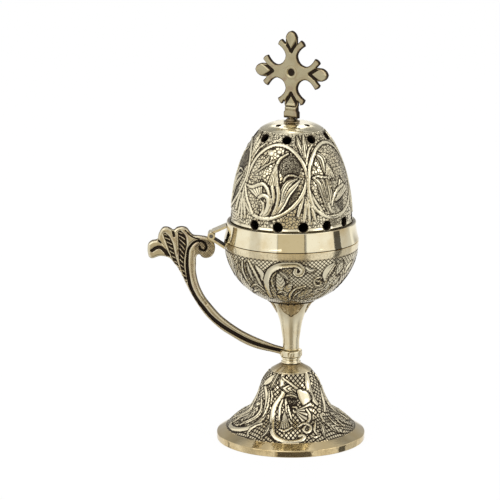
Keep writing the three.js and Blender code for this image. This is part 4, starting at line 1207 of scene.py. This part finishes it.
# %% Coal cup
cup_belly = ellipse(31.2, 30.3, BOWL_RIM, 20.6, 24.55, -1, 8)
cup_outside = np.vstack([[(19.0, 80.1)], cup_belly[1:], [(24.4, 98.0)]])
roll_turn = np.linspace(-0.6, 3.9, 14)
cup_edge = np.column_stack([24.1 + 0.78 * np.cos(roll_turn), 100.62 + 0.8 * np.sin(roll_turn)])
cup_inside = np.array([(23.3, 99.6), (23.3, 92.0), (23.45, 85.0), (22.9, 83.6), (21.0, 82.1),
                       (19.2, 81.2), (17.8, 81.2)])
turned("coal_cup_spun", "coal_cup", cup_sheet,
       np.vstack([[(0, 80.1), (17.5, 80.1)], cup_outside, cup_edge, cup_inside,
                  [(8.0, 81.2), (0, 81.2)]]), 140, "coal_cup")

# %% [markdown]
# ## Stem
# A slim tube that flares to the bowl. Four small palmettes hang from the top of the flare, left in
# brown patina, so the join between stem and bowl reads as a calyx.

# %% Stem
stem_shares = [(0, 0), (0.06, 0.17), (0.183, 0.46), (0.395, 0.694), (0.756, 0.925), (1, 1)]
stem_flare = through([(4.13 + 8.17 * r, 50.5 + 21.5 * z) for r, z in stem_shares], 40)
stem_outside = np.vstack([[(4.13, 46.2), (4.13, 48.4)], evenly(stem_flare, 0.36)[:-1],
                          [(12.28, 71.86)]])
stem_at = travelled(stem_outside)
top = stem_at[-1]
PALMETTE = [("plain", 2.3, [(-19, top - 0.3), (-14, top - 4.6), (-2, top - 8.0)]),
            ("plain", 2.3, [(19, top - 0.3), (14, top - 4.6), (2, top - 8.0)]),
            ("veined", 1.7, [(0, top - 0.2), (0, top - 4.5), (0, top - 8.6)]),
            ("ridge", 0.4, [(-26, top - 0.4), (-31, top - 2.8), (-23, top - 5.0)]),
            ("ridge", 0.4, [(26, top - 0.4), (31, top - 2.8), (23, top - 5.0)])]
STEM_COLUMNS = 224
stem_angles = even_angles(STEM_COLUMNS)
calyx = Engraving(stem_angles[:STEM_COLUMNS // 4], stem_at, stem_outside[:, 0], 90)
calyx.work(PALMETTE)
calyx_height = np.tile(calyx.height * smooth(0, 0.8, top - stem_at)[:, None], (1, 4)) * 0.8
calyx_metal = np.tile(calyx.metal, (1, 4))
stem_plain = np.array([(11.9, 72.0), (2.8, 72.0), (2.8, 45.9), (3.8, 45.9), (4.0, 45.95)])
stem_points = np.vstack([
    raised(stem_outside, stem_at[:, None] + 0 * calyx_height, calyx_height,
           stem_angles).reshape(-1, 3),
    carried_round(stem_plain[:, :1], stem_plain[:, 1:], stem_angles).reshape(-1, 3)])
stem_patina = np.vstack([np.maximum(0.42 * calyx_metal, hollows(calyx_height)),
                         np.zeros((len(stem_plain), STEM_COLUMNS))])
stem_piece = add_piece("stem_turned", "base", worn_brass, stem_points,
                       [ring_faces(len(stem_at) + len(stem_plain), STEM_COLUMNS)],
                       {"hollow": stem_patina})
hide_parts("stem")

# %% [markdown]
# ## Flat castings: handle and cross
# Both are flat pieces with an irregular outline. Points of the outline, rows just inside it and a
# lattice between are joined by a Delaunay triangulation. A height is then worked out for every
# point: full thickness in the middle, falling off in a quarter circle to a narrower edge, less
# the grooves. Front and back are the same, and a strip of quads joins their edges.

# %% Inside and edge of an outline
def inside_outline(points, outline):
    """Even-odd rule: a ray towards +x crosses the outline an odd number of times."""
    x, y = points[:, :1], points[:, 1:]
    x1, y1 = outline.T
    x2, y2 = np.roll(outline, -1, axis=0).T
    crosses = (y1 > y) != (y2 > y)
    at = x1 + (y - y1) * (x2 - x1) / np.where(y2 == y1, 1e-9, y2 - y1)
    return (crosses & (x < at)).sum(axis=1) % 2 == 1


def to_outline(points, outline):
    """Distance from each point to the nearest side of the closed outline."""
    start, side = outline, np.roll(outline, -1, axis=0) - outline
    from_start = points[:, None] - start
    share = np.clip((from_start * side).sum(-1) / (side * side).sum(-1), 0, 1)
    return np.hypot(*np.moveaxis(from_start - share[..., None] * side, -1, 0)).min(axis=1)


square = np.array([(0, 0), (2, 0), (2, 2), (0, 2)], float)
middle_of_square = np.array([(1.0, 1.0)])
print("middle of a square: inside", inside_outline(middle_of_square, square),
      " distance", to_outline(middle_of_square, square))

# %% [markdown]
# A fill of the outline alone would give long thin triangles, on which a groove can't show. So the
# outline gets three rows of points just inside it, where the edge falls off, and a lattice of
# nearly equal triangles in the middle.

# %% Plate
INSETS = 0.16, 0.36, 0.62


def plate(outline, spacing):
    """Points and triangles that fill an outline, its own points first."""
    closed = np.vstack([outline, outline[:1]])
    edge = evenly(closed, spacing)[:-1]
    tangent = np.roll(edge, -1, axis=0) - np.roll(edge, 1, axis=0)
    normal = np.column_stack([-tangent[:, 1], tangent[:, 0]]) / np.hypot(*tangent.T)[:, None]
    if inside_outline((edge + 0.02 * normal)[:40], edge).mean() <= 0.5:
        normal = -normal
    low, high = edge.min(axis=0), edge.max(axis=0)
    x, y = np.meshgrid(np.arange(low[0], high[0], spacing),
                       np.arange(low[1], high[1], spacing * 0.866))
    x = x + (np.arange(len(x)) % 2)[:, None] * spacing / 2
    lattice = np.column_stack([x.ravel(), y.ravel()])
    lattice = lattice[inside_outline(lattice, edge)]
    lattice = lattice[to_outline(lattice, edge) > INSETS[-1] + 0.5 * spacing]
    layers = [edge]
    for inset in INSETS:
        layer = edge + inset * normal
        layer = layer[inside_outline(layer, edge)]
        layers.append(layer[to_outline(layer, edge) > 0.93 * inset])
    points = np.vstack([*layers, lattice])
    loop = [list(range(len(edge)))]
    flat = [Vector(point) for point in points.tolist()]
    placed, _, triangles, *_ = delaunay_2d_cdt(flat, [], loop, 1, 1e-5)
    placed = np.array([tuple(point) for point in placed])
    return placed, np.array([face for face in triangles if len(face) == 3]), edge


print("triangles in a 2 mm square:", len(plate(square, 0.4)[1]))

# %% [markdown]
# The plate becomes two faces, one on each side of the middle. Sides that belong to only one
# triangle are its rim, and a wall of quads stands on them.

# %% Flat piece
def flat_piece(name, body, material, outline, spacing, half_thickness, values, place):
    """Lays out the plate, gives both faces `half_thickness(x, z, edge distance)` and joins
    them. `values` gives the patina, on the cross with painted shade along its edges, and `place`
    moves the points to where the piece belongs."""
    points, triangles, edge = plate(outline, spacing)
    distance = to_outline(points, edge)
    half = half_thickness(points[:, 0], points[:, 1], distance)
    front = np.column_stack([points[:, 0], -half, points[:, 1]])
    back = front * [1, -1, 1]
    sides = np.vstack([triangles[:, [0, 1]], triangles[:, [1, 2]], triangles[:, [2, 0]]])
    ordered = np.sort(sides, axis=1)
    _, first, count = np.unique(ordered, axis=0, return_index=True, return_counts=True)
    rim = sides[first[count == 1]]
    n = len(points)
    walls = np.column_stack([rim[:, 1], rim[:, 0], rim[:, 0] + n, rim[:, 1] + n])
    kept = values(points[:, 0], points[:, 1], distance, half)
    both = {key: np.concatenate([value, value]) for key, value in kept.items()}
    return add_piece(name, body, material, place(np.vstack([front, back])),
                     [triangles, triangles[:, ::-1] + n, walls], both, crease=CREASE)


CREASE = 65
print("flat pieces are shaded smooth up to", CREASE, "degrees")

# %% [markdown]
# Grooves are curves drawn on the piece. Their section is a half ellipse, because they are cast
# and not cut, and the edge of the piece is a quarter of one.

# %% Grooves and edges
def along_groove(x, z, points):
    """Distance across and along the nearest part of a curve drawn on a flat piece, in mm."""
    curve = through(points)
    k = np.argmin((x[:, None] - curve[:, 0]) ** 2 + (z[:, None] - curve[:, 1]) ** 2, axis=1)
    tangent = np.gradient(curve, axis=0)
    tangent /= np.hypot(*tangent.T)[:, None] + 1e-9
    dx, dz = x - curve[k, 0], z - curve[k, 1]
    along = travelled(curve)
    forward = along[k] + tangent[k, 0] * dx + tangent[k, 1] * dz
    past = np.maximum(0, -forward) + np.maximum(0, forward - along[-1])
    across = tangent[k, 0] * dz - tangent[k, 1] * dx
    return np.hypot(across, past) * np.sign(across + 1e-9), forward


def round_groove(across, width):
    """Depth of a round groove, 1 in its middle: the root of 1 - (across / width)^2."""
    return np.sqrt(np.clip(1 - (across / width) ** 2, 0, 1))


def round_edge(distance, width):
    """Drop of a rounded edge, 1 at the outline and 0 from `width` inwards: one less the root
    of 1 - (1 - distance / width)^2."""
    return 1 - np.sqrt(1 - (1 - np.clip(distance / width, 0, 1)) ** 2)


print("round edge 1 mm wide, at 0, 0.5 and 1 mm:", round_edge(np.array([0, 0.5, 1]), 1).round(3))

# %% [markdown]
# ## Handle
# The handle is one casting: an arm that leaves an eye under the stem, swings out and up, and ends
# in a scroll that almost touches the hinge and three leaves that lean away from it. A deep groove
# runs up the arm and winds into the scroll, and two of the leaves hold a twisted cord in theirs.
# All lines are (x, z) in millimetres.

# %% Handle: lines
HANDLE_OUTLINE = [
    (-72, 96.8), (-71.7, 99.9), (-69.8, 101.7), (-67.1, 102.4), (-66.4, 105.1), (-64.4, 108.3),
    (-61.8, 108.6), (-58.9, 107.4), (-57.0, 108.6), (-54.5, 108.9), (-52.3, 108.2), (-50.5, 105.9),
    (-49.0, 104.6), (-46.2, 104.3), (-42.8, 103.8), (-40.4, 102.6), (-38.8, 100.6), (-38.2, 98.2),
    (-38.7, 95.7), (-40.2, 93.9), (-42.6, 93.1), (-44.6, 93.6), (-45.8, 94.9), (-47.0, 94.7),
    (-47.7, 92.9), (-47.8, 89.6), (-47.8, 85.5), (-46.5, 79.5), (-44.0, 73.8), (-41.0, 69.5),
    (-35.0, 62.7), (-27.3, 56.8), (-19.7, 52.6), (-9.4, 48.3), (-4.0, 46.6), (-3.6, 45.0),
    (-4.0, 43.2), (-9.4, 44.4), (-17.1, 46.2), (-23.7, 48.9), (-29.8, 52.6), (-36.0, 56.8),
    (-43.1, 63.7), (-48.2, 71.2), (-52.8, 79.6), (-55.3, 85.4), (-58.5, 90.2), (-61.2, 93.2),
    (-65.5, 94.1), (-69.5, 92.9), (-71.3, 93.8)]
MAIN_GROOVE = [
    (-4.2, 45.2), (-11.8, 47.0), (-19.8, 49.7), (-27.8, 53.8), (-34.8, 58.3), (-40.5, 63.1),
    (-43.9, 67.4), (-47.2, 71.8), (-49.7, 76.4), (-51.0, 80.2), (-51.8, 84.9), (-52.2, 89.7),
    (-52.0, 94.1), (-51.5, 97.5), (-49.7, 100.3), (-47.3, 101.9), (-44.8, 101.9), (-43.1, 100.7),
    (-42.5, 98.5), (-43.6, 97.2), (-45.4, 97.8), (-45.9, 99.0)]
LEAF_GROOVES = [
    ([1.0, 2.0, 2.1, 1.75, 1.3, 0.9, 0.65, 0.4],
     [(-55.7, 106.2), (-54.7, 103.8), (-54.4, 100.1), (-54.7, 96.3), (-54.9, 92.4), (-54.5, 88.6),
      (-53.6, 84.8), (-52.6, 80.9)]),
    ([0.8, 1.35, 1.45, 1.25, 1.0, 0.75, 0.5, 0.35],
     [(-63.2, 105.2), (-62.0, 103.3), (-60.7, 100.1), (-59.8, 96.9), (-58.8, 93.7), (-57.6, 90.5),
      (-56.2, 87.3), (-54.9, 84.1)])]
PLAIN_GROOVES = [
    (0.95, 1.0, [(-69.7, 97.0), (-67.6, 98.4), (-65.4, 98.6), (-63.5, 97.0), (-61.6, 94.4)]),
    (0.3, 0.45, [(-59.3, 92.2), (-57.0, 88.2), (-54.6, 83.2), (-51.9, 78.2), (-49.2, 73.8)]),
    (0.3, 0.45, [(-58.6, 106.5), (-57.6, 103.0), (-57.2, 99.0), (-57.0, 95.0)]),
    (0.6, 0.9, [(-59.4, 107.8), (-59.1, 106.2), (-58.7, 104.4)]),
    (0.5, 0.8, [(-66.9, 102.9), (-66.2, 102.0), (-65.3, 101.2)]),
    (0.4, 0.7, [(-52.9, 107.4), (-51.0, 105.2), (-48.6, 103.6), (-46.0, 103.0)]),
    (0.3, 0.45, [(-66.6, 102.0), (-64.2, 100.2), (-62.6, 97.6), (-61.0, 94.4)]),
    (0.35, 0.5, [(-49.0, 97.0), (-49.6, 92.0), (-49.6, 86.0), (-48.5, 80.5), (-46.2, 75.0),
                 (-42.4, 69.3)])]
VOLUTE = (-43.6, 98.05)
print("handle: outline of", len(HANDLE_OUTLINE), "points,",
      1 + len(LEAF_GROOVES) + len(PLAIN_GROOVES), "grooves")

# %% [markdown]
# The edge falls off not only at the outline but at the wide grooves too, so `free` is the
# distance to the nearest of them. In the leaves' grooves slanting strands stand up again, which
# makes a twisted cord. Patina stands wherever the casting is lower than its full thickness, and
# in the eye of the scroll.

# %% Handle: thickness
def handle_full(x):
    """Full half thickness: 2.35 mm in the body, less towards the arm's end, where it is 1.75."""
    return 2.35 - 0.6 * smooth(-44, -8, x)


def handle_half(x, z, distance):
    """Half thickness: the full one less a rounded edge 0.95 mm deep and less the grooves, plus
    the leaves' strands and a small boss in the scroll."""
    half = handle_full(x)
    across, along = along_groove(x, z, MAIN_GROOVE)
    wide = 0.8 - 0.28 * smooth(62, 86, along) + 0.12 * np.sin(pi * np.clip(along / 60, 0, 1))
    free = np.minimum(distance, np.abs(across) - wide + 0.25)
    leaves = []
    for widths, points in LEAF_GROOVES:
        off, at = along_groove(x, z, points)
        width = np.interp(at, travelled(np.array(points)), widths)
        free = np.minimum(free, np.abs(off) - width + 0.2)
        leaves.append((off, at, width))
    half -= 0.95 * round_edge(free, 1.5)
    half -= 0.65 * round_groove(across, wide) * smooth(-0.5, 3.0, along)
    for off, at, width in leaves:
        groove = round_groove(off, width)
        strands = np.clip(0.2 + 0.85 * np.cos(tau * (at - 1.1 * off) / 2.5), 0, 1)
        half -= groove * 0.15 - 0.92 * strands * smooth(0.45, 0.85, groove)
    for width, depth, points in PLAIN_GROOVES:
        half -= depth * round_groove(along_groove(x, z, points)[0], width)
    off = np.hypot(x - VOLUTE[0], z - VOLUTE[1])
    half += 0.35 * (1 - smooth(0.5, 1.1, off))
    return half


def handle_values(x, z, distance, half):
    """Patina grows from 0.3 to 0.75 mm below the full thickness, and lies in the scroll's eye
    and on the sides of the casting."""
    deep = smooth(0.30, 0.75, handle_full(x) - half) * smooth(0.25, 0.7, distance)
    off = np.hypot(x - VOLUTE[0], z - VOLUTE[1])
    disc = 0.70 * (1 - smooth(4.2, 5.6, off)) * (0.68 + 0.32 * np.sin(5.1 * x) * np.sin(4.7 * z))
    return {"hollow": np.maximum(np.maximum(deep, disc), 0.6 * (distance < 0.05))}


print("handle: half thickness", handle_full(np.array([-60, 0])), "mm in the body and at the eye")

# %% [markdown]
# The arm runs into the eye, which is a turned ring of its own with six slanting grooves, like a
# twisted band.

# %% Handle: casting and eye
handle_piece = flat_piece(
    "handle_scroll", "base", cast_brass,
    evenly(through(HANDLE_OUTLINE + HANDLE_OUTLINE[:1]), 0.26)[:-1], 0.24,
    handle_half, handle_values, lambda points: points)
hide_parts("handle")

eye_loop = eased([(2.8, 42.4, 0.1), (5.6, 42.4, 0.7), (5.6, 45.6, 0.7), (2.8, 45.6, 0.1)], 7)
EYE_COLUMNS = 160
eye_angles = even_angles(EYE_COLUMNS)
outer_share = smooth(4.4, 5.4, eye_loop[:, 0])[:, None]
level = (eye_loop[:, 1:] - 44.0) / 1.6
twist = np.cos(np.radians(3 * eye_angles)[None, :] - 1.7 * level)
twist_groove = tent(twist, 0, 0.28) * outer_share
eye_points = carried_round(eye_loop[:, :1] - 0.35 * twist_groove, eye_loop[:, 1:] + 0 * twist,
                           eye_angles)
add_piece("handle_eye", "base", worn_brass, eye_points.reshape(-1, 3),
          [ring_faces(len(eye_loop), EYE_COLUMNS)], {"hollow": 0.8 * twist_groove})

# %% [markdown]
# ## Cross
# The cross has three arms that end in a pointed bud between two prongs, and a fourth that runs
# into its foot. It stands turned by 30 degrees. The outline is a chain of lines and curves given
# as shares of the reach, the same for each arm and turned by a quarter.

# %% Cross: outline
REACH, CROSS_HEIGHT, FOOT_END = 20.6, 187.173, 164.273


def bent(start, bend, end, steps=10):
    """Quadratic curve from start to end that leans towards bend."""
    t = np.linspace(0, 1, steps)[1:, None]
    return ((1 - t) ** 2 * np.array(start) + 2 * t * (1 - t) * np.array(bend)
            + t * t * np.array(end))


def cross_arm(last):
    """One arm as (across, along): half of it runs from its waist to its tip and is mirrored,
    and a curve leads to the next arm. The last arm ends square, in the foot."""
    waist, side, tip, notch = (0.160, 0.388), (0.372, 0.65), (0.262, 0.785), (0.165, 0.69)
    half = [np.array([waist]), bent(waist, (0.170, 0.534), side),
            bent(side, (0.350, 0.755), tip, 7)]
    if last:
        half += [np.array([(0.194, 0.689), (0.194, 0.80), (0.165, 0.86), (0.165, 0.93),
                           (0.194, 0.97), (0.194, (CROSS_HEIGHT - FOOT_END) / REACH)])]
    else:
        half += [np.array([notch, (0.16, 0.835)]), bent((0.16, 0.835), (0.117, 0.985), (0, 1))]
    half = np.vstack(half) * REACH
    both = np.vstack([half * [-1, 1], half[::-1][0 if last else 1:]])
    corner = bent((0.160 * REACH, 0.388 * REACH), (0.188 * REACH, 0.188 * REACH),
                  (0.388 * REACH, 0.160 * REACH))[:-1]
    return np.vstack([both, corner])


def quarter_turned(points, arm):
    """The points turned to the right by `arm` quarters."""
    turn = -arm * pi / 2
    x, y = points.T
    return np.column_stack([x * cos(turn) - y * sin(turn), x * sin(turn) + y * cos(turn)])


cross_outline = np.vstack([quarter_turned(cross_arm(arm == 2), arm) for arm in range(4)])
FORKS = [quarter_turned(np.array(fork), arm).tolist() for arm in range(4) for fork in (
    [(4.0, 16.8), (2.1, 13.6), (0, 10.5)], [(-4.0, 16.8), (-2.1, 13.6), (0, 10.5)])]
print("cross: outline of", len(cross_outline), "points,", len(FORKS), "forks")

# %% [markdown]
# Dark forks part each bud from its prongs, the bud rises to a ridge like a hipped roof, the prongs
# are slightly dished, and a round dimple with a raised lip sits at the crossing.

# %% Cross: thickness
def roof(x, z, arm):
    """1 on the middle line of a bud, 0 at its edges."""
    along, across = quarter_turned(np.column_stack([x, z]), -arm)[:, ::-1].T
    width = 3.3 * np.clip((20.9 - along) / 3.6, 0.05, 1) * np.clip((along - 10.5) / 4.5, 0.05, 1)
    return tent(across, 0, width) * (along > 11) * (arm != 2)


def cross_full(z):
    """Full half thickness: 1.1 mm in the cross, 1.6 in its foot."""
    return 1.1 + 0.5 * (1 - smooth(-16.4, -15.4, z))


def cross_half(x, z, distance):
    """Half thickness: the full one less a rounded edge 0.6 mm deep, less forks, dimple and the
    foot's groove, plus the buds' roofs and the dimple's lip."""
    half = cross_full(z) - 0.6 * round_edge(distance, 1.1)
    for fork in FORKS:
        half -= 0.80 * round_groove(along_groove(x, z, fork)[0], 0.95)
    for arm in range(4):
        half += 0.28 * roof(x, z, arm)
    off = np.hypot(x, z)
    half -= 0.6 * round_groove(off, 2.2)
    half += 0.16 * tent(off, 2.7, 0.55)
    half -= 0.6 * tent(z, -17.0, 0.6)
    return np.maximum(half, 0.3)


def cross_values(x, z, distance, half):
    """Patina in the forks, dimple and foot's grooves; patina and painted shade along the edges."""
    deep = smooth(0.12, 0.5, cross_full(z) - half) * smooth(0.5, 1.1, distance)
    seat = tent(z, -22.2, 0.8) + 0.5 * tent(z, -18.6, 0.9)
    # Patina and painted shade: a darker band within a millimetre of the outline.
    edge = 0.72 * (1 - smooth(0.1, 0.95, distance))
    ring = 0.28 * tent(np.hypot(x, z), 3.3, 0.55)
    # The outline's points, which the side walls join, take the darkest patina and painted shade.
    return {"hollow": np.maximum.reduce([deep, edge, ring, 0.8 * seat, 0.95 * (distance < 0.05)])}


print("cross: half thickness", cross_full(np.array([0, -20])), "mm in the cross and the foot")

# %% [markdown]
# The cross is laid out flat round its own crossing. Last it is turned about the upright axis and
# lifted to its height.

# %% Cross: piece
def cross_place(points):
    """Turns the flat cross about the vertical and lifts it to its height."""
    turn = radians(-30)
    x, y, z = points.T
    return np.column_stack([x * cos(turn) - y * sin(turn), x * sin(turn) + y * cos(turn),
                            z + CROSS_HEIGHT])


cross_piece = flat_piece("cross_cast", "lid", cross_brass, cross_outline, 0.33,
                         cross_half, cross_values, cross_place)
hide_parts("lid_cross")

# %% [markdown]
# ## Light, floor and surroundings
# Polished metal shows its surroundings, so these are the real lighting of this picture. They
# could be cards and panels round the object. In the world shader they cost nothing and are easy
# to move: each direction has a bearing from the front and a height above the horizon, in degrees,
# and strips and zones are cut out of these.

# %% Bearings and heights
world = bpy.data.worlds.new("studio")
bpy.context.scene.world = world
room = Finish("studio", world)
path = room.node("ShaderNodeLightPath")
camera_ray, _, _, _, _, glossy_ray, *_ = path.outputs()
direction = room.node("ShaderNodeTexCoord", output="Generated")
east, north, up = room.node("ShaderNodeSeparateXYZ", None, {0: direction}).outputs()
bearing = east.sum("ARCTAN2", north * -1.0) * (180 / pi)


def strip(middle, half, soft):
    """1 within `half` degrees of a bearing from the front, 0 beyond it by `soft`."""
    return 1 - (bearing - middle).sum("ABSOLUTE").within(half, half + soft)


height = up.sum("ARCSINE") * (180 / pi)


def zone(middle, half, soft):
    """1 within `half` degrees of a height above the horizon, 0 beyond it by `soft`."""
    return 1 - (height - middle).sum("ABSOLUTE").within(half, half + soft)


print("world nodes for direction:", len(world.node_tree.nodes))

# %% [markdown]
# The room is even and white. What shapes the metal is dark: a dim opening in front, where the
# camera stands, with a frame at its sides, strips to the right and the left, and two softer ones
# behind. Ceiling and floor are weaker, and bright patches hang high behind and straight above.
# The camera itself sees plain white, and only reflections see the strips.

# %% Room
opening = strip(0, 23, 1.5) * zone(-14, 36, 5)
frame_edges = (strip(-24, 0.6, 0.8) * 0.35 + strip(24.5, 1.4, 1.0) * 0.6) * zone(-14, 36, 5)
beside = (strip(87, 7, 1.5) * 0.90 + strip(-113, 0.8, 1.0) * 0.9 + strip(-66, 7, 8) * 0.22
          + strip(110, 12, 6) * 0.32)
behind = (strip(154, 14, 10) + strip(-154, 14, 10)) * zone(26, 26, 12) * 0.55
dark = opening * 0.36 + frame_edges + beside * zone(-8, 24, 10) + behind
overhead, beneath = height.within(24, 50), (0 - height).within(28, 56)
lamp_behind = (1 - strip(0, 162, 6)) * zone(59, 30, 5)
level = (1 - dark) * (1.0 - 0.35 * overhead - 0.38 * beneath)
level = level + lamp_behind * 1.8 + height.within(68, 80) * 0.6
seen = glossy_ray * level + (1 - glossy_ray) * 0.78
seen = camera_ray + (1 - camera_ray) * seen.sum("MAXIMUM", 0.03)
warm_light = room.blend(opening * glossy_ray, (1, 1, 1, 1), (1.0, 0.90, 0.70, 1))
background = room.node("ShaderNodeBackground", None, {"Color": warm_light, "Strength": seen})
room.node("ShaderNodeOutputWorld", None, {"Surface": background})
print("world nodes in all:", len(world.node_tree.nodes))

# %% [markdown]
# Two square lamps add direction. The large one, in front on the left, gives the leaves their
# light and dark sides, and the small one on the right lifts the shadows a little.

# %% Lamps
LOOK_AT = Vector((0, 0, 0.1))


def soft_lamp(name, place, size, power):
    """A square lamp that looks at the middle of the object."""
    data = bpy.data.lights.new(name, "AREA")
    data.size, data.energy = size, power
    lamp = bpy.data.objects.new(name, data)
    lamp.location = place
    lamp.rotation_euler = (LOOK_AT - lamp.location).to_track_quat("-Z", "Y").to_euler()
    bpy.context.scene.collection.objects.link(lamp)


soft_lamp("key", (-0.9, -1.1, 1.3), 1.6, 8.0)
soft_lamp("fill", (1.3, -0.6, 0.9), 0.8, 3.0)
print("lamps:", [lamp.name for lamp in bpy.data.lights])

# %% [markdown]
# The floor is white paper. To the camera it is almost all emission, so that it runs into the white
# behind it without an edge, and a small matt share keeps a faint shadow. Other rays meet matt
# paper, and reflections in the metal don't see it at all.

# %% Floor
floor_finish = Finish("pale_floor")
floor_path = floor_finish.node("ShaderNodeLightPath")
matt = floor_finish.node("ShaderNodeBsdfDiffuse", None, {"Color": (0.95, 0.95, 0.95, 1)})
white = floor_finish.node("ShaderNodeEmission", None, {"Color": (1, 1, 1, 1), "Strength": 1.012})
paper = floor_finish.node("ShaderNodeMixShader", None, {0: floor_path * 0.93, 1: matt, 2: white})
floor_finish.node("ShaderNodeOutputMaterial", None, {"Surface": paper})
floor_mesh = bpy.data.meshes.new("floor")
floor_mesh.from_pydata([(-5, -5, 0), (5, -5, 0), (5, 5, 0), (-5, 5, 0)], [], [(0, 1, 2, 3)])
floor_mesh.materials.append(floor_finish.owner)
floor = bpy.data.objects.new("floor", floor_mesh)
floor.visible_glossy = False
bpy.context.scene.collection.objects.link(floor)
print("floor:", floor.name, "10 m square")

# %% [markdown]
# A dark card lies low in front of the foot, out of the camera's sight. The foot's upright edge
# shows it as a dark oblong, which is what tells the eye that this edge is polished.

# %% Card
card_finish = Finish("dark_card")
glow = card_finish.node("ShaderNodeEmission", None,
                        {"Color": (1.0, 0.85, 0.66, 1), "Strength": 0.10})
card_finish.node("ShaderNodeOutputMaterial", None, {"Surface": glow})
card_mesh = bpy.data.meshes.new("card")
left, right, near = AXIS_X * MM - 0.088, AXIS_X * MM + 0.150, -0.25
card_mesh.from_pydata([(left, near, -0.10), (right, near, -0.10), (right, near, -0.012),
                       (left, near, -0.012)], [], [(0, 1, 2, 3)])
card_mesh.materials.append(card_finish.owner)
card = bpy.data.objects.new("card", card_mesh)
card.visible_camera = card.visible_diffuse = card.visible_shadow = False
bpy.context.scene.collection.objects.link(card)
print("card:", round(right - left, 3), "m wide")
bpy.context.scene.view_settings.view_transform = "Standard"
